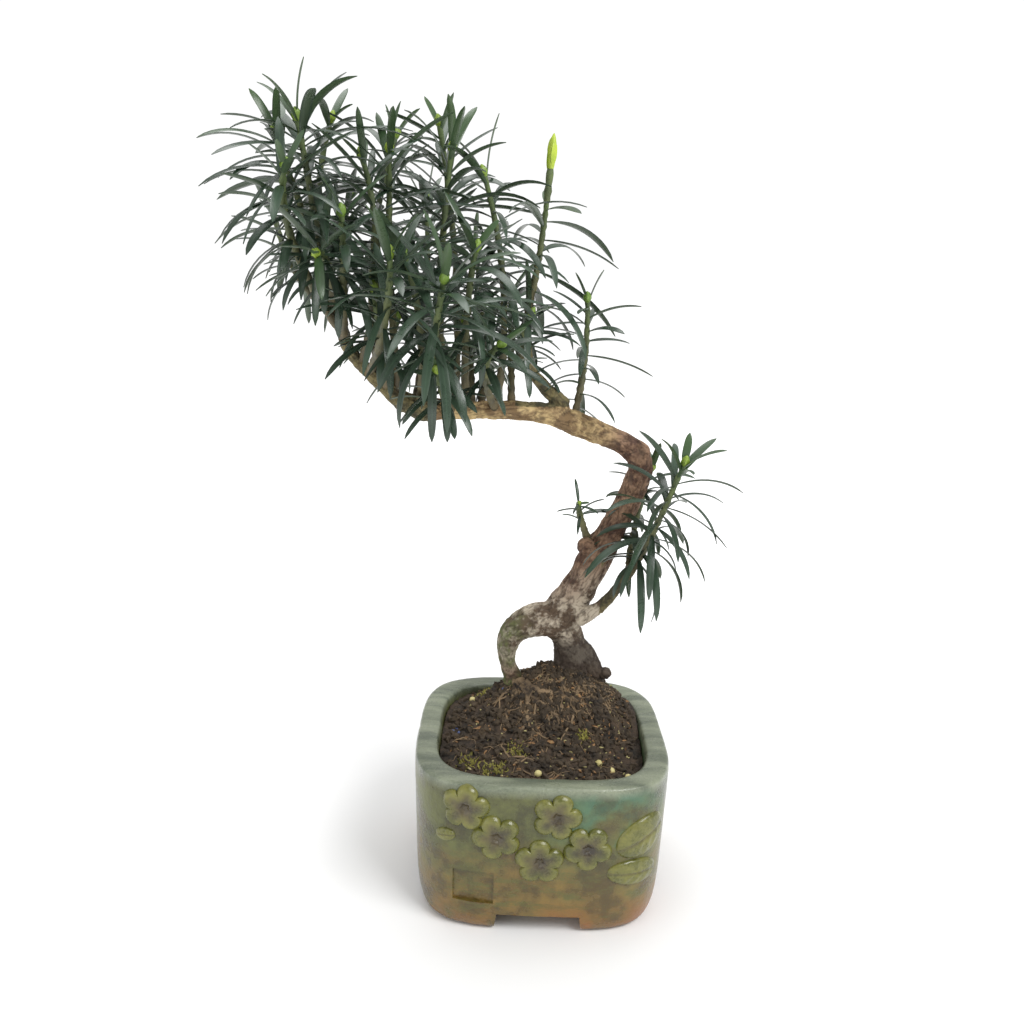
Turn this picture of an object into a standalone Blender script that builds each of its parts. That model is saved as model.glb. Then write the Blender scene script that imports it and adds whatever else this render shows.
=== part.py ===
"""Buddhist pine bonsai, about 0.4 m tall, in its squared glazed pot.

Two surface roots carry a trunk that leans right, turns back sharply at mid height and runs out level to the
left, where leafy shoots rise from it and from three boughs. Each shoot is one mass of foliage.
Metres, +Z up. The origin is at the middle of the pot's foot, on the surface that it stands on, and the
front of the pot looks along -Y. Sizes and places are written in millimetres, and MM brings them to metres.
"""
import math
import random
from typing import NamedTuple

import bmesh
import bpy
from mathutils import Vector
from mathutils.bvhtree import BVHTree

MM = 0.001
GAP = 0.3

# Pot: half widths and heights of its wall, read down the outside and then up the inside
POT_HEIGHT = 81.0
POT_SQUARENESS = 3.9
POT_STEPS = 56
POT_FLOOR_TOP = 17.0
DRAIN_RADIUS = 7.0
FOOT_RISE = 10.0
FOOT_NOTCH_BOTTOM = 46.0
FOOT_NOTCH_TOP = 41.0
POT_OUTSIDE = (
    (63.0, POT_HEIGHT),
    (64.6, 80.2),
    (65.0, 78.0),
    (64.4, 50.0),
    (63.2, 16.0),
    (62.0, 6.0),
    (59.5, 0.0),
)
POT_INSIDE = (
    (47.0, 0.0),
    (46.0, FOOT_RISE - 0.4),
    (DRAIN_RADIUS, FOOT_RISE - 0.4),
    (DRAIN_RADIUS, POT_FLOOR_TOP),
    (45.0, POT_FLOOR_TOP),
    (50.0, 22.0),
    (53.0, 66.0),
    (53.4, 79.0),
    (55.0, POT_HEIGHT),
)

# Ornaments on the front: place along the wall from its middle, height, and turn in degrees
FLOWER_PLACES = (
    (-37.0, 68.5, 10.0),
    (-21.5, 54.0, 40.0),
    (7.0, 66.0, 0.0),
    (-0.5, 41.5, 18.0),
    (22.5, 49.5, 55.0),
)
PETAL_COUNT = 5
PETAL_OFFSET = 6.6
PETAL_SIZE = (5.6, 4.9, 2.8)
FLOWER_HEART = (4.2, 4.2, 2.2)
LEAF_PLACES = ((50.5, 53.5, 24.0), (47.0, 34.5, -4.0), (-47.0, 52.0, 8.0))
LEAF_SIZES = ((15.0, 10.0, 2.6), (14.5, 7.0, 2.4), (5.5, 3.4, 1.6))
STAMP_PLACE = (-32.5, 25.3)
STAMP_SIZE = (20.5, 17.5)
STAMP_DEPTH = 1.2

# Soil: its surface at the wall, and the heap of fibrous soil that the roots stand on
SOIL_LEVEL = 72.5
SOIL_CLEARANCE = 0.4
SOIL_RINGS = (0.0, 8.0, 16.0, 24.0, 32.0, 40.0, 47.0)
HEAP_CENTRE = (9.0, 27.0)
HEAP_RISE = 30.0
HEAP_REACH = (28.0, 19.0)
SWELL_RISE = 3.0

# Limbs: x, y, z and radius at each knot, from the foot of the limb to its end
ROOT_CUT = 94.0
ROOT_LEFT = (
    (9.0, 27.0, 132.0, 9.6),
    (-4.5, 26.0, 131.5, 9.2),
    (-15.0, 25.0, 126.0, 7.4),
    (-19.5, 25.0, 116.5, 5.9),
    (-19.0, 25.0, 106.5, 4.3),
    (-16.0, 26.0, 98.0, 4.7),
    (-16.0, 26.0, ROOT_CUT, 5.4),
)
ROOT_RIGHT = (
    (7.0, 28.0, 130.0, 8.6),
    (17.0, 30.0, 116.5, 6.8),
    (23.5, 31.0, 109.5, 6.3),
    (28.0, 32.0, 102.0, 5.8),
    (30.0, 33.0, 97.0, 5.4),
    (30.0, 33.0, ROOT_CUT, 5.6),
)
ROOT_MIDDLE = (
    (9.0, 28.0, 130.0, 8.5),
    (14.0, 30.0, 119.0, 8.8),
    (16.0, 31.0, 108.0, 9.2),
    (16.5, 31.0, 98.0, 10.0),
    (16.5, 31.0, ROOT_CUT, 10.5),
)
TRUNK_LOWER = (
    (0.0, 27.0, 127.5, 8.6),
    (7.0, 27.0, 133.0, 10.4),
    (13.0, 27.0, 141.0, 10.3),
    (20.0, 26.0, 155.0, 8.8),
    (27.0, 25.0, 170.0, 8.9),
    (33.5, 24.0, 184.0, 6.9),
    (40.0, 23.0, 197.5, 6.8),
    (44.0, 22.0, 208.5, 6.5),
    (46.5, 21.0, 219.0, 6.5),
    (44.5, 20.0, 226.5, 6.4),
)
TRUNK_UPPER = (
    (44.5, 20.0, 226.5, 6.4),
    (36.0, 19.0, 232.0, 5.8),
    (25.5, 18.0, 236.7, 5.7),
    (13.5, 16.0, 241.2, 6.1),
    (1.0, 14.0, 245.7, 5.5),
    (-12.0, 11.0, 248.3, 4.8),
    (-32.0, 8.0, 248.5, 4.5),
    (-50.5, 5.0, 248.3, 4.4),
    (-64.5, 2.0, 248.8, 5.9),
    (-74.0, 0.0, 252.5, 4.9),
)
BOUGH_LEFT = (
    (-74.0, 0.0, 252.5, 4.9),
    (-82.0, -2.0, 258.5, 3.9),
    (-90.0, -5.0, 266.0, 3.4),
    (-96.0, -8.0, 273.0, 3.1),
    (-101.0, -10.0, 280.0, 2.7),
    (-103.0, -12.0, 287.0, 2.5),
    (-105.0, -14.0, 293.0, 2.7),
    (-109.5, -16.0, 299.5, 3.2),
)
BOUGH_CANDLE = (
    (-5.0, 15.0, 259.5, 3.2),
    (-13.0, 16.0, 269.0, 3.0),
    (-15.5, 17.0, 280.5, 2.8),
    (-16.0, 18.0, 291.0, 2.5),
)
BOUGH_CANDLE_SHARE = 0.43
BOUGH_RIGHT = (
    (28.5, 16.0, 143.0, 3.2),
    (34.5, 10.0, 153.0, 2.7),
    (41.0, 8.0, 163.5, 2.4),
    (45.5, 8.0, 171.0, 2.2),
)
BOUGH_RIGHT_SHARE = 0.21
BOUGH_FLARE = 1.2


class Shoot(NamedTuple):
    """A leafy shoot: where it leaves its limb, the places it bends by and ends at, and how it is clothed."""

    limb: str
    share: float
    bend: tuple
    tip: tuple
    leaves: int
    leaf: float
    width: float
    bare: float
    spread: float
    droop: float
    seed: int
    opened: float = 0.0
    bud: float = 6.0
    bud_radius: float = 1.6


SHOOTS = {
    "foliage_top_left": Shoot(
        "bough_left", 1.0, bend=(-111.0, -25.0, 337.0), tip=(-116.0, -40.0, 377.0),
        leaves=37, leaf=54.0, width=5.0, bare=0.34, spread=0.85, droop=1.3,
        seed=350,
    ),
    "foliage_top_middle": Shoot(
        "bough_left", 0.1, bend=(-81.0, -15.0, 302.0), tip=(-79.0, -23.0, 367.0),
        leaves=32, leaf=47.0, width=4.4, bare=0.35, spread=0.9, droop=1.0,
        seed=935,
    ),
    "foliage_top_right": Shoot(
        "trunk_upper", 0.8, bend=(-61.0, -8.0, 298.0), tip=(-52.0, -15.0, 369.0),
        leaves=34, leaf=49.0, width=4.6, bare=0.38, spread=0.8, droop=1.4,
        seed=805,
    ),
    "foliage_candle": Shoot(
        "bough_candle", 1.0, bend=(-10.0, 15.0, 321.0), tip=(-8.0, 15.0, 349.0),
        leaves=19, leaf=55.0, width=4.8, bare=0.02, spread=1.05, droop=1.1,
        seed=350, opened=68.0, bud=33.0, bud_radius=2.2,
    ),
    "foliage_right": Shoot(
        "bough_right", 1.0, bend=(53.0, 5.0, 186.0), tip=(64.0, -8.0, 228.0),
        leaves=42, leaf=42.0, width=4.8, bare=0.0, spread=1.05, droop=1.4,
        seed=754,
    ),
    "foliage_left": Shoot(
        "bough_left", 0.89, bend=(-118.0, -15.0, 335.0), tip=(-127.0, -32.0, 371.0),
        leaves=30, leaf=45.0, width=4.6, bare=0.25, spread=0.85, droop=1.4,
        seed=116,
    ),
    "foliage_left_front": Shoot(
        "bough_left", 0.8, bend=(-125.0, -51.0, 331.0), tip=(-115.0, -69.0, 355.0),
        leaves=23, leaf=33.0, width=4.8, bare=0.38, spread=0.8, droop=0.8,
        seed=705,
    ),
    "foliage_lower_left": Shoot(
        "bough_left", 0.94, bend=(-102.0, -41.0, 323.0), tip=(-103.0, -68.0, 322.0),
        leaves=22, leaf=31.0, width=4.6, bare=0.3, spread=0.9, droop=0.6,
        seed=322,
    ),
    "foliage_left_back": Shoot(
        "bough_left", 0.79, bend=(-126.0, 18.0, 338.0), tip=(-110.0, 6.0, 382.0),
        leaves=24, leaf=37.0, width=4.2, bare=0.4, spread=1.0, droop=1.3,
        seed=194,
    ),
    "foliage_lower_left_back": Shoot(
        "bough_left", 0.94, bend=(-130.0, -5.0, 311.0), tip=(-143.0, 28.0, 341.0),
        leaves=22, leaf=30.0, width=4.2, bare=0.25, spread=0.95, droop=0.8,
        seed=61,
    ),
    "foliage_top_back_left": Shoot(
        "bough_left", 0.26, bend=(-98.0, 14.0, 325.0), tip=(-82.0, 25.0, 378.0),
        leaves=27, leaf=39.0, width=4.2, bare=0.4, spread=0.95, droop=1.3,
        seed=437,
    ),
    "foliage_top_back_right": Shoot(
        "trunk_upper", 0.77, bend=(-49.0, 40.0, 315.0), tip=(-61.0, 22.0, 384.0),
        leaves=23, leaf=43.0, width=4.2, bare=0.5, spread=0.95, droop=0.8,
        seed=619,
    ),
    "foliage_crown_right": Shoot(
        "trunk_upper", 0.65, bend=(-21.0, 11.0, 307.0), tip=(-38.0, 0.0, 360.0),
        leaves=28, leaf=45.0, width=4.2, bare=0.35, spread=1.0, droop=1.3,
        seed=556,
    ),
    "foliage_front_left": Shoot(
        "bough_left", 0.67, bend=(-94.0, -55.0, 316.0), tip=(-94.0, -60.0, 338.0),
        leaves=16, leaf=38.0, width=4.8, bare=0.35, spread=0.8, droop=1.3,
        seed=412,
    ),
    "foliage_front_bud": Shoot(
        "bough_left", 0.42, bend=(-76.0, -38.0, 322.0), tip=(-90.0, -31.0, 363.0),
        leaves=22, leaf=32.0, width=3.8, bare=0.45, spread=0.8, droop=0.8,
        seed=458,
    ),
    "foliage_rosette_left": Shoot(
        "bough_left", 0.32, bend=(-72.0, -70.0, 295.0), tip=(-72.0, -76.0, 322.0),
        leaves=24, leaf=43.0, width=4.8, bare=0.35, spread=0.8, droop=0.8,
        seed=39,
    ),
    "foliage_rosette_middle": Shoot(
        "trunk_upper", 0.86, bend=(-57.0, -61.0, 283.0), tip=(-50.0, -77.0, 313.0),
        leaves=27, leaf=47.0, width=5.0, bare=0.4, spread=0.85, droop=1.0,
        seed=242,
    ),
    "foliage_rosette_right": Shoot(
        "trunk_upper", 0.66, bend=(-39.0, -41.0, 277.0), tip=(-27.0, -49.0, 286.0),
        leaves=17, leaf=30.0, width=4.6, bare=0.25, spread=0.85, droop=0.8,
        seed=458,
    ),
    "foliage_rosette_low": Shoot(
        "trunk_upper", 0.79, bend=(-54.0, -23.0, 257.0), tip=(-55.0, -44.0, 273.0),
        leaves=19, leaf=31.0, width=4.8, bare=0.25, spread=0.8, droop=0.8,
        seed=200,
    ),
    "foliage_front_right": Shoot(
        "trunk_upper", 0.74, bend=(-45.0, -31.0, 300.0), tip=(-39.0, -39.0, 326.0),
        leaves=26, leaf=43.0, width=4.6, bare=0.35, spread=1.05, droop=1.3,
        seed=986,
    ),
    "foliage_front_middle": Shoot(
        "trunk_upper", 0.93, bend=(-60.0, -41.0, 295.0), tip=(-70.0, -46.0, 324.0),
        leaves=24, leaf=41.0, width=4.4, bare=0.35, spread=0.9, droop=0.7,
        seed=51,
    ),
    "foliage_back_left": Shoot(
        "bough_left", 0.52, bend=(-118.0, 42.0, 306.0), tip=(-109.0, 52.0, 351.0),
        leaves=23, leaf=41.0, width=4.2, bare=0.35, spread=0.8, droop=1.0,
        seed=44,
    ),
    "foliage_back_middle": Shoot(
        "trunk_upper", 0.94, bend=(-66.0, 59.0, 295.0), tip=(-70.0, 54.0, 351.0),
        leaves=26, leaf=44.0, width=4.2, bare=0.35, spread=0.8, droop=0.7,
        seed=565,
    ),
    "foliage_back_right": Shoot(
        "trunk_upper", 0.69, bend=(-37.0, 47.0, 289.0), tip=(-44.0, 57.0, 328.0),
        leaves=26, leaf=41.0, width=4.2, bare=0.3, spread=1.0, droop=0.7,
        seed=311,
    ),
    "foliage_low_front": Shoot(
        "bough_left", 0.18, bend=(-82.0, -32.0, 285.0), tip=(-84.0, -36.0, 307.0),
        leaves=20, leaf=29.0, width=4.4, bare=0.3, spread=0.8, droop=0.8,
        seed=348,
    ),
    "foliage_low_middle": Shoot(
        "bough_left", 0.09, bend=(-86.0, 26.0, 277.0), tip=(-80.0, 27.0, 292.0),
        leaves=16, leaf=33.0, width=4.2, bare=0.3, spread=1.05, droop=1.3,
        seed=872,
    ),
    "foliage_low_right": Shoot(
        "trunk_upper", 0.72, bend=(-43.0, 36.0, 280.0), tip=(-49.0, 39.0, 290.0),
        leaves=18, leaf=39.0, width=4.2, bare=0.3, spread=0.95, droop=0.7,
        seed=947,
    ),
    "foliage_inner_right": Shoot(
        "trunk_upper", 0.61, bend=(-23.0, 25.0, 283.0), tip=(-24.0, 29.0, 305.0),
        leaves=24, leaf=39.0, width=4.2, bare=0.3, spread=1.05, droop=1.2,
        seed=913,
    ),
    "foliage_candle_foot": Shoot(
        "bough_candle", 0.61, bend=(-22.0, 5.0, 282.0), tip=(-14.0, 7.0, 296.0),
        leaves=12, leaf=32.0, width=4.4, bare=0.1, spread=0.85, droop=1.0,
        seed=497,
    ),
    "foliage_trunk_bend": Shoot(
        "trunk_upper", 0.37, bend=(17.0, 30.0, 275.0), tip=(14.0, 15.0, 304.0),
        leaves=23, leaf=33.0, width=4.2, bare=0.04, spread=1.0, droop=0.9,
        seed=312,
    ),
    "foliage_right_back": Shoot(
        "bough_right", 0.88, bend=(43.0, 30.0, 175.0), tip=(54.0, 34.0, 216.0),
        leaves=19, leaf=34.0, width=4.2, bare=0.3, spread=1.0, droop=1.4,
        seed=941,
    ),
    "foliage_sprout": Shoot(
        "trunk_lower", 0.48, bend=(13.0, 14.0, 200.0), tip=(15.0, 9.0, 202.0),
        leaves=8, leaf=16.0, width=2.2, bare=0.35, spread=0.85, droop=0.7,
        seed=564, bud=3.0, bud_radius=0.9,
    ),
}

# Leaves: how the angle off the stem, the droop and the length run from a shoot's foot to its bud
LEAF_TURN = math.radians(137.5)
LEAF_SPREAD = ((0.0, 98.0), (0.4, 82.0), (0.75, 64.0), (0.92, 42.0), (1.0, 18.0))
LEAF_DROOP = ((0.0, 58.0), (0.5, 48.0), (0.85, 38.0), (1.0, 20.0))
LEAF_LENGTH = ((0.0, 0.86), (0.35, 1.0), (0.75, 1.0), (0.92, 0.82), (1.0, 0.5))
LEAF_STEPS = 9
LEAF_WIDEST = 4
LEAF_THICKNESS = 0.9
LEAF_BROADENING = 1.15
LEAF_END = 0.35
LEAF_SHARE = 0.5
STEM_TOP = 0.985
STEM_FOOT_RADIUS = 2.0
STEM_TIP_RADIUS = 1.25
STEM_STEPS = 6
BUD_OUTLINE = ((0.35, 1.0), (0.7, 0.85), (1.0, 0.2))

GLAZE_GREEN = (0.16, 0.19, 0.10)
GLAZE_YELLOW = (0.34, 0.33, 0.13)
SOIL_BROWN = (0.045, 0.032, 0.022)
BARK_BROWN = (0.22, 0.15, 0.09)
LEAF_GREEN = (0.035, 0.075, 0.04)


def clear_scene():
    """Removes whatever the scene holds."""
    for obj in list(bpy.data.objects):
        bpy.data.objects.remove(obj)


def new_collection(name):
    """A collection linked to the scene."""
    collection = bpy.data.collections.new(name)
    bpy.context.scene.collection.children.link(collection)
    return collection


def new_material(name, colour, roughness):
    """A plain finish."""
    material = bpy.data.materials.new(name)
    material.use_nodes = True
    shader = material.node_tree.nodes["Principled BSDF"]
    shader.inputs["Base Color"].default_value = (*colour, 1.0)
    shader.inputs["Roughness"].default_value = roughness
    return material


def mix(low, high, share):
    """The value `share` of the way from low to high."""
    return low + (high - low) * share


def read_table(table, at):
    """Reads a table of (place, value) rows at a place between its rows."""
    for (start, low), (end, high) in zip(table, table[1:]):
        if at <= end:
            return mix(low, high, (at - start) / (end - start))
    return table[-1][1]


def mesh_object(name, mesh, collection):
    """A mesh placed in a collection as an object."""
    obj = bpy.data.objects.new(name, mesh)
    collection.objects.link(obj)
    return obj


def faced_object(name, points, faces, collection):
    """A closed solid from points in millimetres and faces, with its faces turned outwards."""
    mesh = bpy.data.meshes.new(name)
    mesh.from_pydata([Vector(point) * MM for point in points], [], faces)
    tidy_mesh(mesh)
    return mesh_object(name, mesh, collection)


def tidy_mesh(mesh):
    """Welds doubled points and turns all faces outwards."""
    work = bmesh.new()
    work.from_mesh(mesh)
    bmesh.ops.remove_doubles(work, verts=work.verts, dist=0.002 * MM)
    bmesh.ops.recalc_face_normals(work, faces=work.faces)
    work.to_mesh(mesh)
    work.free()


def bake(obj, weld=True):
    """Gives an object the mesh that its modifiers or its curve make, placed in the world."""
    made = bpy.data.meshes.new_from_object(obj.evaluated_get(bpy.context.evaluated_depsgraph_get()))
    made.transform(obj.matrix_world)
    if weld:
        tidy_mesh(made)
    baked = mesh_object(obj.name + "_baked", made, obj.users_collection[0])
    name = obj.name
    bpy.data.objects.remove(obj)
    baked.name = name
    return baked


def boolean(obj, operation, others, solver="EXACT"):
    """Joins the others to an object, or cuts them out of it, in one step, and removes them."""
    group = bpy.data.collections.new(obj.name + "_operands")
    for other in others:
        group.objects.link(other)
    modifier = obj.modifiers.new(operation.lower(), "BOOLEAN")
    modifier.operation = operation
    modifier.operand_type = "COLLECTION"
    modifier.collection = group
    modifier.solver = solver
    done = bake(obj, weld=False)
    done.data.materials.clear()
    for other in others:
        bpy.data.objects.remove(other)
    bpy.data.collections.remove(group)
    return keep_main_body(done)


def keep_main_body(obj):
    """Drops loose scraps and the skins of sealed hollows: only the largest body stays."""
    work = bmesh.new()
    work.from_mesh(obj.data)
    unseen = set(work.faces)
    bodies = []
    while unseen:
        body = [unseen.pop()]
        for face in body:
            for edge in face.edges:
                for other in edge.link_faces:
                    if other in unseen:
                        unseen.remove(other)
                        body.append(other)
        bodies.append(body)
    bodies.sort(key=len)
    for body in bodies[:-1]:
        bmesh.ops.delete(work, geom=body, context="FACES")
    work.to_mesh(obj.data)
    work.free()
    return obj


# Pot


def squared(x, y, squareness=POT_SQUARENESS):
    """Moves a point of a circle out to the same place on the pot's rounded square plan."""
    reach = math.hypot(x, y)
    if reach <= DRAIN_RADIUS:
        return x, y
    across = abs(x) / reach
    along = abs(y) / reach
    push = (across**squareness + along**squareness) ** (-1.0 / squareness)
    push = mix(1.0, push, min(1.0, (reach - DRAIN_RADIUS) / (2.0 * DRAIN_RADIUS)))
    return x * push, y * push


def squared_turning(name, profile, closed, collection):
    """A profile in millimetres turned round the upright axis, then pushed out to the pot's plan."""
    mesh = bpy.data.meshes.new(name)
    count = len(profile)
    edges = [(i, (i + 1) % count) for i in range(count if closed else count - 1)]
    mesh.from_pydata([(radius * MM, 0.0, height * MM) for radius, height in profile], edges, [])
    obj = mesh_object(name, mesh, collection)
    turn = obj.modifiers.new("turn", "SCREW")
    turn.steps = POT_STEPS
    turn.render_steps = POT_STEPS
    turn.use_merge_vertices = True
    turn.merge_threshold = 0.00001
    obj = bake(obj)
    for vert in obj.data.vertices:
        x, y = squared(vert.co.x / MM, vert.co.y / MM)
        vert.co.x = x * MM
        vert.co.y = y * MM
    return obj


def wall_half(height):
    """The pot's outer half width at a height."""
    return read_table([(-z, half) for half, z in POT_OUTSIDE], -height)


def wall_arc_table(steps=180):
    """Rows of (way round the wall from the middle of its front, angle), on a plan of half width 1."""
    rows = [(0.0, 0.0)]
    before = Vector((0.0, -1.0))
    for step in range(1, steps + 1):
        angle = math.radians(85.0) * step / steps
        across = math.sin(angle)
        along = math.cos(angle)
        push = (across**POT_SQUARENESS + along**POT_SQUARENESS) ** (-1.0 / POT_SQUARENESS)
        point = Vector((across * push, -along * push))
        rows.append((rows[-1][0] + (point - before).length, angle))
        before = point
    return rows


WALL_ARCS = wall_arc_table()


def wall_place(way, height, lift):
    """The place `way` round the front wall from its middle, at a height, lifted off the wall."""
    half = wall_half(height)
    angle = math.copysign(read_table(WALL_ARCS, abs(way) / half), way)
    across = math.sin(angle)
    along = math.cos(angle)
    power = POT_SQUARENESS
    push = (abs(across) ** power + along**power) ** (-1.0 / power)
    sideways = math.copysign(abs(across) ** (power - 1.0), across)
    normal = Vector((sideways, -(along ** (power - 1.0)), 0.0)).normalized()
    return Vector((across * push * half, -along * push * half, height)) + normal * lift


def lay_on_wall(obj, way, height):
    """Bends a shape made flat, with its depth along Y, round the wall at a place."""
    for vert in obj.data.vertices:
        across, depth, up = vert.co / MM
        vert.co = wall_place(way + across, height + up, -depth) * MM


def flat_dome(name, place, size, turn, collection, segments, rings):
    """A flattened ball, standing in the plane of the wall."""
    bpy.ops.mesh.primitive_uv_sphere_add(segments=segments, ring_count=rings, radius=MM)
    ball = bpy.context.object
    ball.name = name
    for holder in ball.users_collection:
        holder.objects.unlink(ball)
    collection.objects.link(ball)
    cosine = math.cos(turn)
    sine = math.sin(turn)
    for vert in ball.data.vertices:
        across = vert.co.x * size[0]
        up = vert.co.y * size[1]
        vert.co = Vector((
            place[0] * MM + across * cosine - up * sine,
            vert.co.z * size[2],
            place[1] * MM + across * sine + up * cosine,
        ))
    tidy_mesh(ball.data)
    return ball


def outer_wall_cutter(collection):
    """The pot's outside as a filled block, grown by the gap."""
    rows = [(radius + GAP, height) for radius, height in POT_OUTSIDE]
    profile = [(0.0, POT_HEIGHT)] + rows + [(0.0, 0.0)]
    return squared_turning("wall_cutter", profile, False, collection)


def make_pot(parts, cutters, finish):
    """The pot: a squared shell on four corner feet, with a drain hole and a bare stamped square."""
    pot = squared_turning("pot", POT_OUTSIDE + POT_INSIDE, True, parts)
    notches = []
    for quarter in range(4):
        bpy.ops.mesh.primitive_cube_add(size=1.0)
        notch = bpy.context.object
        notch.name = f"notch_{quarter}"
        turn = quarter * math.pi / 2.0
        for vert in notch.data.vertices:
            width = FOOT_NOTCH_TOP if vert.co.z > 0.0 else FOOT_NOTCH_BOTTOM
            across = vert.co.x * width
            out = 60.0 + vert.co.y * 32.0
            up = FOOT_RISE if vert.co.z > 0.0 else -FOOT_RISE
            vert.co = Vector((
                across * math.cos(turn) - out * math.sin(turn),
                across * math.sin(turn) + out * math.cos(turn),
                up,
            )) * MM
        move_to(notch, cutters)
        notches.append(notch)
    bpy.ops.mesh.primitive_cube_add(size=1.0)
    stamp = bpy.context.object
    stamp.name = "stamp"
    for vert in stamp.data.vertices:
        depth = STAMP_DEPTH if vert.co.y > 0.0 else -4.0
        vert.co = Vector((vert.co.x * STAMP_SIZE[0], depth, vert.co.z * STAMP_SIZE[1])) * MM
    lay_on_wall(stamp, *STAMP_PLACE)
    move_to(stamp, cutters)
    pot = boolean(pot, "DIFFERENCE", notches + [stamp])
    pot.data.materials.append(finish)
    return pot


def move_to(obj, collection):
    """Takes an object out of its collections and into this one."""
    for holder in obj.users_collection:
        holder.objects.unlink(obj)
    collection.objects.link(obj)


def make_flower(index, place, parts, cutters, finish):
    """One applied flower: five petals round a heart, its back cut to the wall."""
    way, height, turn = place
    heart = flat_dome(f"pot_flower_{index}", (0.0, 0.0), FLOWER_HEART, 0.0, parts, 8, 5)
    petals = []
    for petal in range(PETAL_COUNT):
        angle = math.radians(turn) + petal * 2.0 * math.pi / PETAL_COUNT
        spot = (PETAL_OFFSET * math.cos(angle), PETAL_OFFSET * math.sin(angle))
        petals.append(flat_dome(f"petal_{index}_{petal}", spot, PETAL_SIZE, angle, cutters, 8, 5))
    flower = boolean(heart, "UNION", petals)
    lay_on_wall(flower, way, height)
    flower = boolean(flower, "DIFFERENCE", [outer_wall_cutter(cutters)])
    flower.data.materials.append(finish)


def make_applied_leaf(index, place, size, parts, cutters, finish):
    """One applied leaf, its back cut to the wall."""
    way, height, turn = place
    leaf = flat_dome(f"pot_leaf_{index}", (0.0, 0.0), size, math.radians(turn), parts, 12, 6)
    lay_on_wall(leaf, way, height)
    leaf = boolean(leaf, "DIFFERENCE", [outer_wall_cutter(cutters)])
    leaf.data.materials.append(finish)


# Soil


def soil_height(x, y):
    """The soil's surface: a low swell over the pot, and the steep heap under the roots."""
    across = (x - HEAP_CENTRE[0]) / HEAP_REACH[0]
    along = (y - HEAP_CENTRE[1]) / HEAP_REACH[1]
    heap = HEAP_RISE * math.exp(-0.5 * (across**2 + along**2))
    swell = SWELL_RISE * math.cos(min(1.0, math.hypot(x, y) / 52.0) * math.pi / 2.0)
    ripple = 0.7 * math.sin(x * 0.21 + 1.0) * math.cos(y * 0.17)
    return SOIL_LEVEL + heap + swell + ripple


def soil_profile():
    """The soil's rings, then its side down the inside of the pot, and its underside."""
    wall = [(height, half) for half, height in POT_INSIDE if half > DRAIN_RADIUS and height >= POT_FLOOR_TOP]
    edge = (read_table(wall, SOIL_LEVEL) - SOIL_CLEARANCE, SOIL_LEVEL)
    bottom = POT_FLOOR_TOP + GAP
    side = [(half - SOIL_CLEARANCE, max(height, bottom)) for height, half in wall if height < SOIL_LEVEL]
    return [(radius, SOIL_LEVEL) for radius in SOIL_RINGS] + [edge] + side[::-1] + [(0.0, bottom)]


def make_soil(parts, cutters, finish):
    """The soil that fills the pot, cut clear of the roots that stand in it."""
    soil = squared_turning("soil", soil_profile(), False, parts)
    for vert in soil.data.vertices:
        if vert.co.z > (SOIL_LEVEL - 1.0) * MM:
            vert.co.z = soil_height(vert.co.x / MM, vert.co.y / MM) * MM
    sockets = [
        tube("socket_" + name, sunk_route(knots), 3, cutters, GAP)
        for name, knots in (("left", ROOT_LEFT), ("right", ROOT_RIGHT), ("middle", ROOT_MIDDLE))
    ]
    soil = boolean(soil, "DIFFERENCE", sockets)
    soil.data.materials.append(finish)


# Limbs


def smooth_route(knots, between=3):
    """Points and radii on a smooth curve through knots of x, y, z and radius."""
    rows = [Vector(knot) for knot in knots]
    ends = [rows[0] * 2.0 - rows[1]] + rows + [rows[-1] * 2.0 - rows[-2]]
    route = []
    for a, b, c, d in zip(ends, ends[1:], ends[2:], ends[3:]):
        for step in range(between):
            t = step / between
            bend = b * 2.0 + (c - a) * t
            bend += (a * 2.0 - b * 5.0 + c * 4.0 - d) * t**2 + (b * 3.0 - a - c * 3.0 + d) * t**3
            route.append(bend * 0.5)
    route.append(rows[-1])
    return [(Vector(row[:3]), row[3]) for row in route]


def root_route(knots):
    """A root's route, upright at its foot so that its cut end lies flat."""
    return smooth_route(knots[:-1]) + [(Vector(knots[-1][:3]), knots[-1][3])]


def sunk_route(knots):
    """The same route with its foot carried down by the gap."""
    route = root_route(knots)
    foot, radius = route[-1]
    route[-1] = (foot - Vector((0.0, 0.0, GAP)), radius)
    return route


def limb_route(knots, before=None, after=None):
    """A limb's route, its ends cut square to the bend at the knots before and after it on its neighbours."""
    route = smooth_route(knots)
    if before:
        route = square_end(route[::-1], knots[1], before)[::-1]
    if after:
        route = square_end(route, knots[-2], after)
    return route


def square_end(route, last, beyond):
    """Ends a route half a gap early, with a short straight run from knot `last` towards `beyond`."""
    end, radius = route[-1]
    heading = (Vector(beyond[:3]) - Vector(last[:3])).normalized()
    run = mix(route[-2][1], radius, 0.5)
    return route[:-2] + [(end - heading * 2.5, run), (end - heading * GAP / 2.0, radius)]


def tube(name, route, roundness, collection, grow=0.0):
    """A tapering tube along a route, with filled ends."""
    curve = bpy.data.curves.new(name, "CURVE")
    curve.dimensions = "3D"
    curve.bevel_depth = MM
    curve.bevel_resolution = roundness
    curve.use_fill_caps = True
    spline = curve.splines.new("POLY")
    spline.points.add(len(route) - 1)
    for point, (place, radius) in zip(spline.points, route):
        point.co = (*(place * MM), 1.0)
        point.radius = radius + grow
    obj = bpy.data.objects.new(name, curve)
    collection.objects.link(obj)
    return bake(obj)


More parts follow.
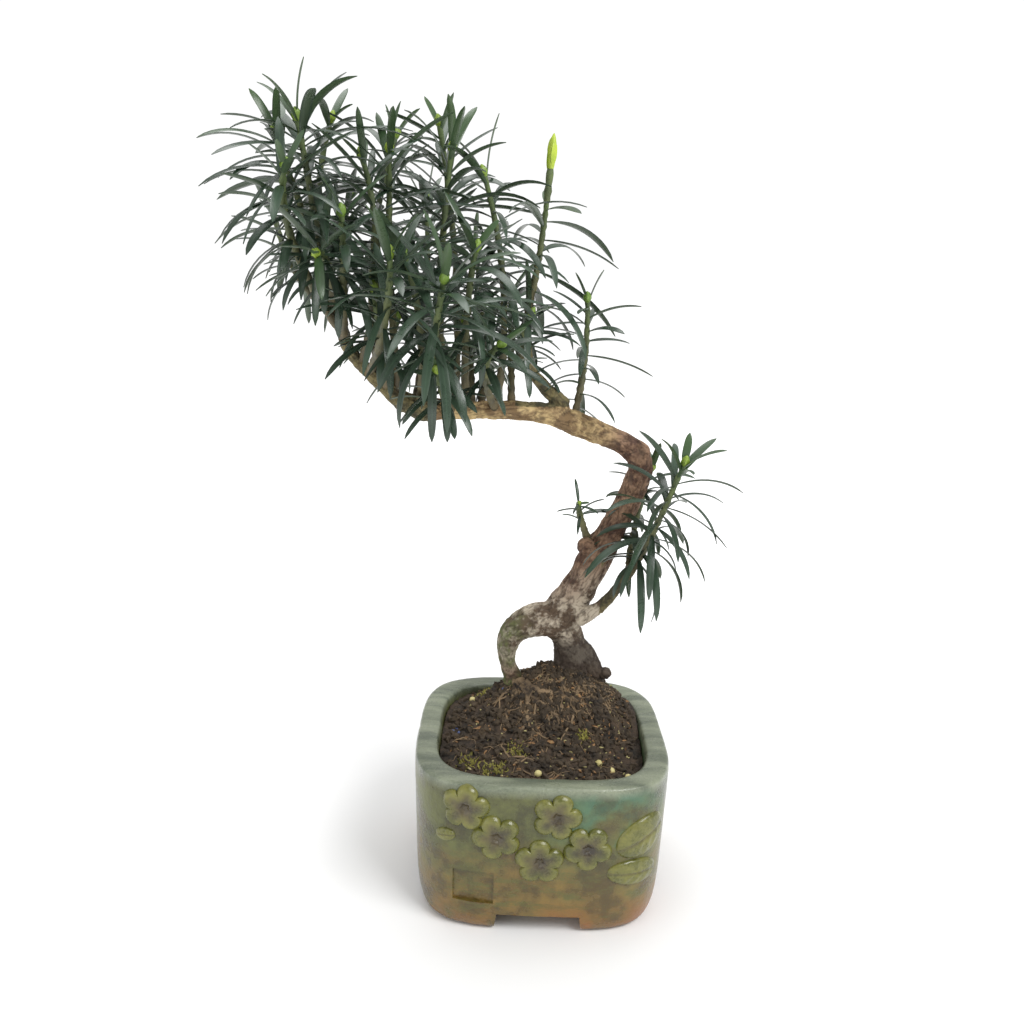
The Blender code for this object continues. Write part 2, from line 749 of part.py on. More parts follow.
def seat(route, share, aim):
    """Where a shoot leaves a limb: the place, a gap off the limb's side or end, and the way out of it."""
    if share >= 1.0:
        end = route[-1][0]
        heading = (end - route[-2][0]).normalized()
        return end + heading * GAP, heading
    at = share * (len(route) - 1)
    index = min(int(at), len(route) - 2)
    near, near_radius = route[index]
    far, far_radius = route[index + 1]
    centre = near.lerp(far, at - index)
    radius = mix(near_radius, far_radius, at - index)
    heading = (far - near).normalized()
    out = aim - centre
    out = (out - heading * out.dot(heading)).normalized()
    return centre + out * (radius + GAP), out


def branch_route(limb, share, knots):
    """A bough that starts on a limb's side and goes through knots."""
    first = Vector(knots[0][:3])
    start, out = seat(limb, share, first)
    radius = knots[0][3] * BOUGH_FLARE
    route = smooth_route([(*(start + out * 1.5), radius)] + list(knots))
    return [(start, radius)] + route


def make_limbs(parts, cutters, finish):
    """The trunk with its two surface roots, and the boughs. Returns each limb's route."""
    routes = {
        "trunk_lower": limb_route(TRUNK_LOWER, after=TRUNK_UPPER[1]),
        "trunk_upper": limb_route(TRUNK_UPPER, before=TRUNK_LOWER[-2], after=BOUGH_LEFT[1]),
        "bough_left": limb_route(BOUGH_LEFT, before=TRUNK_UPPER[-2]),
    }
    routes["bough_candle"] = branch_route(routes["trunk_upper"], BOUGH_CANDLE_SHARE, BOUGH_CANDLE)
    routes["bough_right"] = branch_route(routes["trunk_lower"], BOUGH_RIGHT_SHARE, BOUGH_RIGHT)
    for name, route in routes.items():
        limb = tube(name, route, 3 if name.startswith("trunk") else 2, parts)
        if name == "trunk_lower":
            roots = [
                tube("root_left", root_route(ROOT_LEFT), 3, cutters),
                tube("root_right", root_route(ROOT_RIGHT), 3, cutters),
                tube("root_middle", root_route(ROOT_MIDDLE), 3, cutters),
            ]
            limb = boolean(limb, "UNION", roots)
        limb.data.materials.append(finish)
    return routes


# Foliage


class Stem:
    """A shoot's stem: a curve from its seat on a limb, by its bend, to its tip."""

    def __init__(self, shoot, limb):
        self.bend = Vector(shoot.bend)
        self.tip = Vector(shoot.tip)
        self.foot, self.out = seat(limb, shoot.share, self.bend)

    def place(self, share):
        """The point this far along the stem."""
        left = 1.0 - share
        return self.foot * left**2 + self.bend * (2.0 * share * left) + self.tip * share**2

    def heading(self, share):
        """The way the stem points there."""
        return ((self.bend - self.foot) * (1.0 - share) + (self.tip - self.bend) * share).normalized()

    def route(self, bud, bud_radius):
        """The stem's tube, with its bud at the end."""
        rows = [(self.foot, STEM_FOOT_RADIUS), (self.foot + self.out * 1.2, STEM_FOOT_RADIUS)]
        for step in range(1, STEM_STEPS + 1):
            share = step / STEM_STEPS
            rows.append((self.place(share), mix(STEM_FOOT_RADIUS, STEM_TIP_RADIUS, share)))
        for rise, swelling in BUD_OUTLINE:
            rows.append((self.tip + self.heading(1.0) * bud * rise, swelling * bud_radius))
        return rows


class Leaf(NamedTuple):
    """A leaf's middle line, the way across it, the way its underside faces, and its greatest half width."""

    line: list
    across: list
    under: list
    half: float


def grow_leaves(shoot, stem):
    """The shoot's leaves, set in a spiral up its stem."""
    draw = random.Random(shoot.seed)
    phase = draw.uniform(0.0, 2.0 * math.pi)
    leaves = []
    for index in range(shoot.leaves):
        age = index / (shoot.leaves - 1)
        share = mix(shoot.bare, STEM_TOP, age**0.9)
        heading = stem.heading(share)
        side = heading.cross(Vector((0.3, 1.0, 0.1))).normalized()
        turn = phase + index * LEAF_TURN + draw.uniform(-0.3, 0.3)
        outward = side * math.cos(turn) + heading.cross(side) * math.sin(turn)
        angle = max(read_table(LEAF_SPREAD, age), shoot.opened) * shoot.spread + draw.uniform(-14.0, 14.0)
        droop = math.radians(read_table(LEAF_DROOP, age) * shoot.droop + draw.uniform(-16.0, 16.0))
        length = shoot.leaf * read_table(LEAF_LENGTH, age) * draw.uniform(0.7, 1.14)
        twist = math.radians(draw.uniform(-30.0, 30.0))
        rise = math.radians(angle)
        start = (heading * math.cos(rise) + outward * math.sin(rise)).normalized()
        leaves.append(bent_leaf(stem.place(share), start, outward, droop, length, twist, shoot.width / 2.0))
    return leaves


def bent_leaf(foot, start, outward, droop, length, twist, half):
    """A leaf that leaves the stem along `start` and bends down by `droop` towards its tip."""
    down = Vector((0.0, 0.0, -1.0)) + outward * 0.35
    down = (down - start * down.dot(start)).normalized()
    flat = start.cross(down)
    line = [foot]
    headings = [start]
    for step in range(LEAF_STEPS):
        bent = droop * ((step + 0.5) / LEAF_STEPS) ** 1.2
        heading = start * math.cos(bent) + down * math.sin(bent)
        line.append(line[-1] + heading * length / LEAF_STEPS)
        headings.append(heading)
    across = [flat * math.cos(twist) + flat.cross(heading) * math.sin(twist) for heading in headings]
    under = [side.cross(heading) for side, heading in zip(across, headings)]
    return Leaf(line, across, under, half)


def blade(leaf, grow=0.0):
    """A leaf's solid: a pointed foot, a keeled section where it is widest and a narrow straight end."""
    half = leaf.half * LEAF_BROADENING
    side = leaf.across[LEAF_WIDEST] * (half + grow)
    under = leaf.under[LEAF_WIDEST]
    middle = leaf.line[LEAF_WIDEST] - under * grow
    end = leaf.line[-1] + (leaf.line[-1] - leaf.line[-2]).normalized() * grow
    end_side = leaf.across[-1] * (half * LEAF_END + grow)
    keel = leaf.line[LEAF_WIDEST] + under * (LEAF_THICKNESS + grow)
    points = [leaf.line[0], middle - side, middle + side, keel, end - end_side, end + end_side]
    faces = [(0, 1, 2), (0, 2, 3), (0, 3, 1), (1, 4, 5), (1, 5, 2), (2, 5, 3), (3, 5, 4), (3, 4, 1)]
    return points, faces


def face_tree(points, faces):
    """A search tree over faces, in millimetres."""
    return BVHTree.FromPolygons([tuple(point) for point in points], faces)


def object_tree(obj):
    """A search tree over an object's faces, in millimetres."""
    points = [vert.co / MM for vert in obj.data.vertices]
    return face_tree(points, [tuple(face.vertices) for face in obj.data.polygons])


def choose_leaves(stems, solids, limbs):
    """Deals each shoot the leaves that find room, tip first and every other leaf before the rest."""
    leaves = {name: grow_leaves(shoot, stems[name])[::-1] for name, shoot in SHOOTS.items()}
    taken = {name: [object_tree(solid)] for name, solid in solids.items()}
    taken["limbs"] = [object_tree(limb) for limb in limbs]
    chosen = {name: [] for name in SHOOTS}
    for start in range(2):
        for name, shoot in SHOOTS.items():
            for leaf in leaves[name][start::2]:
                swollen = face_tree(*blade(leaf, GAP))
                others = [tree for other, trees in taken.items() if other != name for tree in trees]
                blocked = any(swollen.overlap(tree) for tree in others)
                if not blocked and len(chosen[name]) < LEAF_SHARE * shoot.leaves:
                    chosen[name].append(leaf)
                    taken[name].append(face_tree(*blade(leaf)))
    return chosen


def make_foliage(routes, parts, cutters, finish):
    """Every shoot: its stem and the leaves that find room, joined to one solid."""
    stems = {}
    solids = {}
    for name, shoot in SHOOTS.items():
        stems[name] = Stem(shoot, routes[shoot.limb])
        solids[name] = tube(name, stems[name].route(shoot.bud, shoot.bud_radius), 0, parts)
    chosen = choose_leaves(stems, solids, [bpy.data.objects[name] for name in routes])
    for name, leaves in chosen.items():
        blades = [faced_object(f"leaf_{index}", *blade(leaf), cutters) for index, leaf in enumerate(leaves)]
        mass = boolean(solids[name], "UNION", blades, "MANIFOLD")
        mass.data.materials.append(finish)


def main():
    clear_scene()
    parts = new_collection("buddhist_pine_bonsai")
    cutters = new_collection("cutters")
    cutters.hide_render = True
    glaze = new_material("green_glaze", GLAZE_GREEN, 0.35)
    petal_glaze = new_material("yellow_green_glaze", GLAZE_YELLOW, 0.35)
    make_pot(parts, cutters, glaze)
    for index, place in enumerate(FLOWER_PLACES, 1):
        make_flower(index, place, parts, cutters, petal_glaze)
    for index, (place, size) in enumerate(zip(LEAF_PLACES, LEAF_SIZES), 1):
        make_applied_leaf(index, place, size, parts, cutters, petal_glaze)
    make_soil(parts, cutters, new_material("soil", SOIL_BROWN, 0.95))
    routes = make_limbs(parts, cutters, new_material("bark", BARK_BROWN, 0.85))
    make_foliage(routes, parts, cutters, new_material("leaf", LEAF_GREEN, 0.4))


main()
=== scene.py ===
"""Buddhist pine bonsai in its glazed pot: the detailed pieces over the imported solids.

Metres, +Z up, the origin at the middle of the pot's foot and the pot's front along -Y, as in the solids.
Sizes are written in millimetres and MM brings them to metres. The limbs and shoots follow the solids' own
rule, with all the leaves of the rule and a finer mesh.
"""
import math
import random
from typing import NamedTuple

import bpy
import numpy as np
from mathutils import Matrix, Vector, noise


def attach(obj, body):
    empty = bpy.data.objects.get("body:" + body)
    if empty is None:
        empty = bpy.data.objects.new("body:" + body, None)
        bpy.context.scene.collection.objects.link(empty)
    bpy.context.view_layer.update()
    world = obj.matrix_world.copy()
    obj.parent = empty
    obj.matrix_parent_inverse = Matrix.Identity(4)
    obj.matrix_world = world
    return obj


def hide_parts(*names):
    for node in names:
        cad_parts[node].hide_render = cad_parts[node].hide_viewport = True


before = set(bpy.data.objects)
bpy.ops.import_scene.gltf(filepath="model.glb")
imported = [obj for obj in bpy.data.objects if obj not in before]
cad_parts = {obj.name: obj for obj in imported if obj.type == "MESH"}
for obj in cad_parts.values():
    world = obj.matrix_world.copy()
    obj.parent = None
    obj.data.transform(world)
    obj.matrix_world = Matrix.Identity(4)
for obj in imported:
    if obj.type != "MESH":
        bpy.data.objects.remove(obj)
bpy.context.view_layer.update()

MM = 0.001

# The gap that the solids leave where they touch, in millimetres, the distances in metres at which points
# weld, and the ways that a tube's first corner and a shoot's spiral are reckoned from
GAP = 0.3
WELD = 0.000002
TURN_WELD = 0.00001
TUBE_SIDE = (0.31, 0.17, 0.93)
SPIRAL_SIDE = (0.3, 1.0, 0.1)

# Angles in degrees up to which an edge is shaded smooth
SMOOTH_POT = 38.0
SMOOTH_BITS = 50.0
SMOOTH_THREADS = 80.0
SMOOTH_BARK = 180.0

# Pot: half widths and heights of its wall, read down the outside and then up the inside
POT_HEIGHT = 81.0
POT_SQUARENESS = 3.9
POT_STEPS = 128
POT_ROUNDINGS = 2
POT_FLOOR_TOP = 17.0
POT_MOUTH = 53.0
DRAIN_RADIUS = 7.0
FOOT_RISE = 10.0
FOOT_NOTCH_BOTTOM = 46.0
FOOT_NOTCH_TOP = 41.0
FOOT_NOTCH_MIDDLE = 60.0
FOOT_NOTCH_REACH = 16.0
POT_OUTSIDE = (
    (63.0, POT_HEIGHT),
    (64.6, 80.2),
    (65.0, 78.0),
    (64.4, 50.0),
    (63.2, 16.0),
    (62.0, 6.0),
    (59.5, 0.0),
)
POT_INSIDE = (
    (47.0, 0.0),
    (46.0, FOOT_RISE - 0.4),
    (DRAIN_RADIUS, FOOT_RISE - 0.4),
    (DRAIN_RADIUS, POT_FLOOR_TOP),
    (45.0, POT_FLOOR_TOP),
    (50.0, 22.0),
    (53.0, 66.0),
    (53.4, 79.0),
    (55.0, POT_HEIGHT),
)
WALL_HALF_ANGLE = math.radians(85.0)

# Marks of the hands on the wall: depth and scale of each, above a height and outside a radius
HAND_MARKS = ((0.55, 0.035), (0.22, 0.12))
HAND_ABOVE = 1.0
HAND_OUTSIDE = 30.0

# Ornaments on the front: place along the wall from its middle, height, and turn in degrees
FLOWER_PLACES = (
    (-37.0, 68.5, 10.0),
    (-21.5, 54.0, 40.0),
    (7.0, 66.0, 0.0),
    (-0.5, 41.5, 18.0),
    (22.5, 49.5, 55.0),
)
FLOWER_MESH = (20, 80)
FLOWER_NOTCH = 8.2
FLOWER_REACH = 12.2
PETAL_COUNT = 5
PETAL_OFFSET = 6.6
PETAL_RADIUS = 5.7
PETAL_RISE = 2.9
HEART_DEPTH = 1.3
HEART_REACH = 3.4
BOSS_RISE = 0.75
BOSS_REACH = 1.2
FLOWER_LOBES = 0.55
FLOWER_EDGE = 6.0
PETAL_DOME = 2.4
PETAL_CUP = (0.5, 0.55)
HEART_POOL = (1.25, 4.6)
PETAL_POOL = (0.5, 2.6)
POT_LEAF_PLACES = ((50.5, 53.5, 24.0), (47.0, 34.5, -4.0), (-47.0, 52.0, 8.0))
POT_LEAF_SIZES = ((15.0, 10.0, 2.6), (14.5, 7.0, 2.4), (5.5, 3.4, 1.6))
POT_LEAF_MESH = (14, 56)
POT_LEAF_DOME = 2.2
POT_LEAF_RIB = (0.3, 0.09)
POT_LEAF_VEINS = (0.16, 0.34, 0.7)
POT_LEAF_POOL = (0.55, 0.12)
ORNAMENT_EDGE = 0.05
ORNAMENT_ROOT = -0.9
STAMP_PLACE = (-32.5, 25.3)
STAMP_SIZE = (20.5, 17.5)
STAMP_DEPTH = 1.2
STAMP_CLEAR = 4.0

# Soil: its surface at the wall, and the heap of fibrous soil that the roots stand on
SOIL_LEVEL = 72.5
SOIL_EDGE = 52.6
SOIL_SIDE = ((52.4, 66.0), (49.5, 22.0), (44.6, POT_FLOOR_TOP + GAP), (0.0, POT_FLOOR_TOP + GAP))
SOIL_RINGS = 70
SOIL_STEPS = 224
SOIL_CRUMBS = ((1.5, 0.16), (1.1, 0.42), (0.7, 1.1))
HEAP_CENTRE = (9.0, 27.0)
HEAP_RISE = 30.0
HEAP_REACH = (28.0, 19.0)
SWELL_RISE = 3.0
SWELL_REACH = 52.0
RIPPLE_RISE = 0.7
RIPPLE_TURNS = (0.21, 0.17)

# Limbs: x, y, z and radius at each knot, from the foot of the limb to its end
ROOT_CUT = 94.0
ROOT_LEFT = (
    (9.0, 27.0, 132.0, 9.6),
    (-4.5, 26.0, 131.5, 9.2),
    (-15.0, 25.0, 126.0, 7.4),
    (-19.5, 25.0, 116.5, 5.9),
    (-19.0, 25.0, 106.5, 4.3),
    (-16.0, 26.0, 98.0, 4.7),
    (-16.0, 26.0, ROOT_CUT, 5.4),
)
ROOT_RIGHT = (
    (7.0, 28.0, 130.0, 8.6),
    (17.0, 30.0, 116.5, 6.8),
    (23.5, 31.0, 109.5, 6.3),
    (28.0, 32.0, 102.0, 5.8),
    (30.0, 33.0, 97.0, 5.4),
    (30.0, 33.0, ROOT_CUT, 5.6),
)
ROOT_MIDDLE = (
    (9.0, 28.0, 130.0, 8.5),
    (14.0, 30.0, 119.0, 8.8),
    (16.0, 31.0, 108.0, 9.2),
    (16.5, 31.0, 98.0, 10.0),
    (16.5, 31.0, ROOT_CUT, 10.5),
)
TRUNK_LOWER = (
    (0.0, 27.0, 127.5, 8.6),
    (7.0, 27.0, 133.0, 10.4),
    (13.0, 27.0, 141.0, 10.3),
    (20.0, 26.0, 155.0, 8.8),
    (27.0, 25.0, 170.0, 8.9),
    (33.5, 24.0, 184.0, 6.9),
    (40.0, 23.0, 197.5, 6.8),
    (44.0, 22.0, 208.5, 6.5),
    (46.5, 21.0, 219.0, 6.5),
    (44.5, 20.0, 226.5, 6.4),
)
TRUNK_UPPER = (
    (44.5, 20.0, 226.5, 6.4),
    (36.0, 19.0, 232.0, 5.8),
    (25.5, 18.0, 236.7, 5.7),
    (13.5, 16.0, 241.2, 6.1),
    (1.0, 14.0, 245.7, 5.5),
    (-12.0, 11.0, 248.3, 4.8),
    (-32.0, 8.0, 248.5, 4.5),
    (-50.5, 5.0, 248.3, 4.4),
    (-64.5, 2.0, 248.8, 5.9),
    (-74.0, 0.0, 252.5, 4.9),
)
BOUGH_LEFT = (
    (-74.0, 0.0, 252.5, 4.9),
    (-82.0, -2.0, 258.5, 3.9),
    (-90.0, -5.0, 266.0, 3.4),
    (-96.0, -8.0, 273.0, 3.1),
    (-101.0, -10.0, 280.0, 2.7),
    (-103.0, -12.0, 287.0, 2.5),
    (-105.0, -14.0, 293.0, 2.7),
    (-109.5, -16.0, 299.5, 3.2),
)
BOUGH_CANDLE = (
    (-5.0, 15.0, 259.5, 3.2),
    (-13.0, 16.0, 269.0, 3.0),
    (-15.5, 17.0, 280.5, 2.8),
    (-16.0, 18.0, 291.0, 2.5),
)
BOUGH_CANDLE_SHARE = 0.43
BOUGH_RIGHT = (
    (28.5, 16.0, 143.0, 3.2),
    (34.5, 10.0, 153.0, 2.7),
    (41.0, 8.0, 163.5, 2.4),
    (45.5, 8.0, 171.0, 2.2),
)
BOUGH_RIGHT_SHARE = 0.21
BOUGH_COLLAR = ((-3.0, 1.5), (0.5, 1.35))
BOUGH_FLARE = 1.2
BOUGH_RUN = 1.5
LIMB_END_RUN = 2.5


class Shoot(NamedTuple):
    """A leafy shoot: where it leaves its limb, where it bends and ends, and how it is clothed."""

    limb: str
    share: float
    bend: tuple
    tip: tuple
    leaves: int
    leaf: float
    width: float
    bare: float
    spread: float
    droop: float
    seed: int
    opened: float = 0.0
    bud: float = 6.0
    bud_radius: float = 1.6


SHOOTS = {
    "foliage_top_left": Shoot(
        "bough_left", 1.0, bend=(-111.0, -25.0, 337.0), tip=(-116.0, -40.0, 377.0),
        leaves=37, leaf=54.0, width=5.0, bare=0.34, spread=0.85, droop=1.3, seed=350,
    ),
    "foliage_top_middle": Shoot(
        "bough_left", 0.1, bend=(-81.0, -15.0, 302.0), tip=(-79.0, -23.0, 367.0),
        leaves=32, leaf=47.0, width=4.4, bare=0.35, spread=0.9, droop=1.0, seed=935,
    ),
    "foliage_top_right": Shoot(
        "trunk_upper", 0.8, bend=(-61.0, -8.0, 298.0), tip=(-52.0, -15.0, 369.0),
        leaves=34, leaf=49.0, width=4.6, bare=0.38, spread=0.8, droop=1.4, seed=805,
    ),
    "foliage_candle": Shoot(
        "bough_candle", 1.0, bend=(-10.0, 15.0, 321.0), tip=(-8.0, 15.0, 349.0),
        leaves=19, leaf=55.0, width=4.8, bare=0.02, spread=1.05, droop=1.1,
        seed=350, opened=68.0, bud=33.0, bud_radius=2.2,
    ),
    "foliage_right": Shoot(
        "bough_right", 1.0, bend=(53.0, 5.0, 186.0), tip=(64.0, -8.0, 228.0),
        leaves=42, leaf=42.0, width=4.8, bare=0.0, spread=1.05, droop=1.4, seed=754,
    ),
    "foliage_left": Shoot(
        "bough_left", 0.89, bend=(-118.0, -15.0, 335.0), tip=(-127.0, -32.0, 371.0),
        leaves=30, leaf=45.0, width=4.6, bare=0.25, spread=0.85, droop=1.4, seed=116,
    ),
    "foliage_left_front": Shoot(
        "bough_left", 0.8, bend=(-125.0, -51.0, 331.0), tip=(-115.0, -69.0, 355.0),
        leaves=23, leaf=33.0, width=4.8, bare=0.38, spread=0.8, droop=0.8, seed=705,
    ),
    "foliage_lower_left": Shoot(
        "bough_left", 0.94, bend=(-102.0, -41.0, 323.0), tip=(-103.0, -68.0, 322.0),
        leaves=22, leaf=31.0, width=4.6, bare=0.3, spread=0.9, droop=0.6, seed=322,
    ),
    "foliage_left_back": Shoot(
        "bough_left", 0.79, bend=(-126.0, 18.0, 338.0), tip=(-110.0, 6.0, 382.0),
        leaves=24, leaf=37.0, width=4.2, bare=0.4, spread=1.0, droop=1.3, seed=194,
    ),
    "foliage_lower_left_back": Shoot(
        "bough_left", 0.94, bend=(-130.0, -5.0, 311.0), tip=(-143.0, 28.0, 341.0),
        leaves=22, leaf=30.0, width=4.2, bare=0.25, spread=0.95, droop=0.8, seed=61,
    ),
    "foliage_top_back_left": Shoot(
        "bough_left", 0.26, bend=(-98.0, 14.0, 325.0), tip=(-82.0, 25.0, 378.0),
        leaves=27, leaf=39.0, width=4.2, bare=0.4, spread=0.95, droop=1.3, seed=437,
    ),
    "foliage_top_back_right": Shoot(
        "trunk_upper", 0.77, bend=(-49.0, 40.0, 315.0), tip=(-61.0, 22.0, 384.0),
        leaves=23, leaf=43.0, width=4.2, bare=0.5, spread=0.95, droop=0.8, seed=619,
    ),
    "foliage_crown_right": Shoot(
        "trunk_upper", 0.65, bend=(-21.0, 11.0, 307.0), tip=(-38.0, 0.0, 360.0),
        leaves=28, leaf=45.0, width=4.2, bare=0.35, spread=1.0, droop=1.3, seed=556,
    ),
    "foliage_front_left": Shoot(
        "bough_left", 0.67, bend=(-94.0, -55.0, 316.0), tip=(-94.0, -60.0, 338.0),
        leaves=16, leaf=38.0, width=4.8, bare=0.35, spread=0.8, droop=1.3, seed=412,
    ),
    "foliage_front_bud": Shoot(
        "bough_left", 0.42, bend=(-76.0, -38.0, 322.0), tip=(-90.0, -31.0, 363.0),
        leaves=22, leaf=32.0, width=3.8, bare=0.45, spread=0.8, droop=0.8, seed=458,
    ),
    "foliage_rosette_left": Shoot(
        "bough_left", 0.32, bend=(-72.0, -70.0, 295.0), tip=(-72.0, -76.0, 322.0),
        leaves=24, leaf=43.0, width=4.8, bare=0.35, spread=0.8, droop=0.8, seed=39,
    ),
    "foliage_rosette_middle": Shoot(
        "trunk_upper", 0.86, bend=(-57.0, -61.0, 283.0), tip=(-50.0, -77.0, 313.0),
        leaves=27, leaf=47.0, width=5.0, bare=0.4, spread=0.85, droop=1.0, seed=242,
    ),
    "foliage_rosette_right": Shoot(
        "trunk_upper", 0.66, bend=(-39.0, -41.0, 277.0), tip=(-27.0, -49.0, 286.0),
        leaves=17, leaf=30.0, width=4.6, bare=0.25, spread=0.85, droop=0.8, seed=458,
    ),
    "foliage_rosette_low": Shoot(
        "trunk_upper", 0.79, bend=(-54.0, -23.0, 257.0), tip=(-55.0, -44.0, 273.0),
        leaves=19, leaf=31.0, width=4.8, bare=0.25, spread=0.8, droop=0.8, seed=200,
    ),
    "foliage_front_right": Shoot(
        "trunk_upper", 0.74, bend=(-45.0, -31.0, 300.0), tip=(-39.0, -39.0, 326.0),
        leaves=26, leaf=43.0, width=4.6, bare=0.35, spread=1.05, droop=1.3, seed=986,
    ),
    "foliage_front_middle": Shoot(
        "trunk_upper", 0.93, bend=(-60.0, -41.0, 295.0), tip=(-70.0, -46.0, 324.0),
        leaves=24, leaf=41.0, width=4.4, bare=0.35, spread=0.9, droop=0.7, seed=51,
    ),
    "foliage_back_left": Shoot(
        "bough_left", 0.52, bend=(-118.0, 42.0, 306.0), tip=(-109.0, 52.0, 351.0),
        leaves=23, leaf=41.0, width=4.2, bare=0.35, spread=0.8, droop=1.0, seed=44,
    ),
    "foliage_back_middle": Shoot(
        "trunk_upper", 0.94, bend=(-66.0, 59.0, 295.0), tip=(-70.0, 54.0, 351.0),
        leaves=26, leaf=44.0, width=4.2, bare=0.35, spread=0.8, droop=0.7, seed=565,
    ),
    "foliage_back_right": Shoot(
        "trunk_upper", 0.69, bend=(-37.0, 47.0, 289.0), tip=(-44.0, 57.0, 328.0),
        leaves=26, leaf=41.0, width=4.2, bare=0.3, spread=1.0, droop=0.7, seed=311,
    ),
    "foliage_low_front": Shoot(
        "bough_left", 0.18, bend=(-82.0, -32.0, 285.0), tip=(-84.0, -36.0, 307.0),
        leaves=20, leaf=29.0, width=4.4, bare=0.3, spread=0.8, droop=0.8, seed=348,
    ),
    "foliage_low_middle": Shoot(
        "bough_left", 0.09, bend=(-86.0, 26.0, 277.0), tip=(-80.0, 27.0, 292.0),
        leaves=16, leaf=33.0, width=4.2, bare=0.3, spread=1.05, droop=1.3, seed=872,
    ),
    "foliage_low_right": Shoot(
        "trunk_upper", 0.72, bend=(-43.0, 36.0, 280.0), tip=(-49.0, 39.0, 290.0),
        leaves=18, leaf=39.0, width=4.2, bare=0.3, spread=0.95, droop=0.7, seed=947,
    ),
    "foliage_inner_right": Shoot(
        "trunk_upper", 0.61, bend=(-23.0, 25.0, 283.0), tip=(-24.0, 29.0, 305.0),
        leaves=24, leaf=39.0, width=4.2, bare=0.3, spread=1.05, droop=1.2, seed=913,
    ),
    "foliage_candle_foot": Shoot(
        "bough_candle", 0.61, bend=(-22.0, 5.0, 282.0), tip=(-14.0, 7.0, 296.0),
        leaves=12, leaf=32.0, width=4.4, bare=0.1, spread=0.85, droop=1.0, seed=497,
    ),
    "foliage_trunk_bend": Shoot(
        "trunk_upper", 0.37, bend=(17.0, 30.0, 275.0), tip=(14.0, 15.0, 304.0),
        leaves=23, leaf=33.0, width=4.2, bare=0.04, spread=1.0, droop=0.9, seed=312,
    ),
    "foliage_right_back": Shoot(
        "bough_right", 0.88, bend=(43.0, 30.0, 175.0), tip=(54.0, 34.0, 216.0),
        leaves=19, leaf=34.0, width=4.2, bare=0.3, spread=1.0, droop=1.4, seed=941,
    ),
    "foliage_sprout": Shoot(
        "trunk_lower", 0.48, bend=(13.0, 14.0, 200.0), tip=(15.0, 9.0, 202.0),
        leaves=8, leaf=16.0, width=2.2, bare=0.35, spread=0.85, droop=0.7,
        seed=564, bud=3.0, bud_radius=0.9,
    ),
}

# Leaves: how the angle off the stem, the droop and the length run from a shoot's foot to its bud, and
# the play that chance gives each of them
LEAF_TURN = math.radians(137.5)
LEAF_SPREAD = ((0.0, 98.0), (0.4, 82.0), (0.75, 64.0), (0.92, 42.0), (1.0, 18.0))
LEAF_DROOP = ((0.0, 58.0), (0.5, 48.0), (0.85, 38.0), (1.0, 20.0))
LEAF_LENGTH = ((0.0, 0.86), (0.35, 1.0), (0.75, 1.0), (0.92, 0.82), (1.0, 0.5))
LEAF_CROWDING = 0.9
LEAF_TURN_PLAY = 0.3
LEAF_SPREAD_PLAY = 14.0
LEAF_DROOP_PLAY = 16.0
LEAF_LENGTH_PLAY = (0.7, 1.14)
LEAF_TWIST_PLAY = 30.0
LEAF_FALL = 0.35
LEAF_BEND = 1.2
STEM_TOP = 0.985
STEM_FOOT_RADIUS = 2.0
STEM_TIP_RADIUS = 1.25

# Leaf detail: the cross-section as shares of the half width, with its rise and the rib's mask
LEAF_STEPS = 11
LEAF_NARROWING = 0.86
LEAF_THICKNESS = 0.9
LEAF_THIN_SHARE = 0.35
LEAF_FRESH_FROM = 0.86
LEAF_FRESHNESS = 0.5
LEAF_OUTLINE = ((0.0, 0.26), (0.12, 0.62), (0.3, 0.95), (0.5, 1.0), (0.78, 0.88), (0.92, 0.56), (1.0, 0.1))
LEAF_SECTION = (
    (-1.0, 0.05, 0.0),
    (-0.55, 0.34, 0.0),
    (0.0, 0.1, 1.0),
    (0.55, 0.34, 0.0),
    (1.0, 0.05, 0.0),
    (0.5, -0.3, 0.0),
    (0.0, -0.55, 1.0),
    (-0.5, -0.3, 0.0),
)

# Stems and buds: a bud's outline is its girth along it, and its scales are wrapped round it
STEM_STEPS = 30
STEM_SIDES = 9
STEM_ROOT = 1.5
STEM_FLARE = 1.3
SCAR_RISE = 0.16
SCAR_TURN = 2.4
SCAR_PLAY = 0.08
BUD_OUTLINE = (
    (0.0, 0.62),
    (0.12, 0.86),
    (0.3, 1.0),
    (0.55, 0.98),
    (0.75, 0.8),
    (0.9, 0.48),
    (0.97, 0.24),
    (1.0, 0.05),
)
BUD_SIDES = 12
BUD_SINK = 1.5
BUD_GIRTH = 1.1
BUD_SCALES = 3
BUD_TINT = 0.6
BUD_SEED_STEP = 5000
SCALE_STEPS = 6
SCALE_WIDTH = 0.95
SCALE_REACH = (0.75, 0.45)
SCALE_START = (0.0, 0.5)
SCALE_TUCK = 0.86
SCALE_LIFT = 0.12
NECK_RINGS = (0.0, 0.08, 0.16, 0.24, 0.32, 0.4, 0.48)
NECK_RADIUS = 1.75
NECK_YOUTH = (0.7, 0.9)
NECK_KNOBS = 0.3
NECK_KNOB_TURN = 30.0
CANDLE_START = 0.44
CANDLE_LENGTH = 0.52
CANDLE_RADIUS = 2.05
CANDLE_SCALES = 4
REGIONS = {
    "left": "bough_left",
    "upper": "trunk_upper",
    "candle": "bough_candle",
    "right": "bough_right",
    "low": "trunk_lower",
}

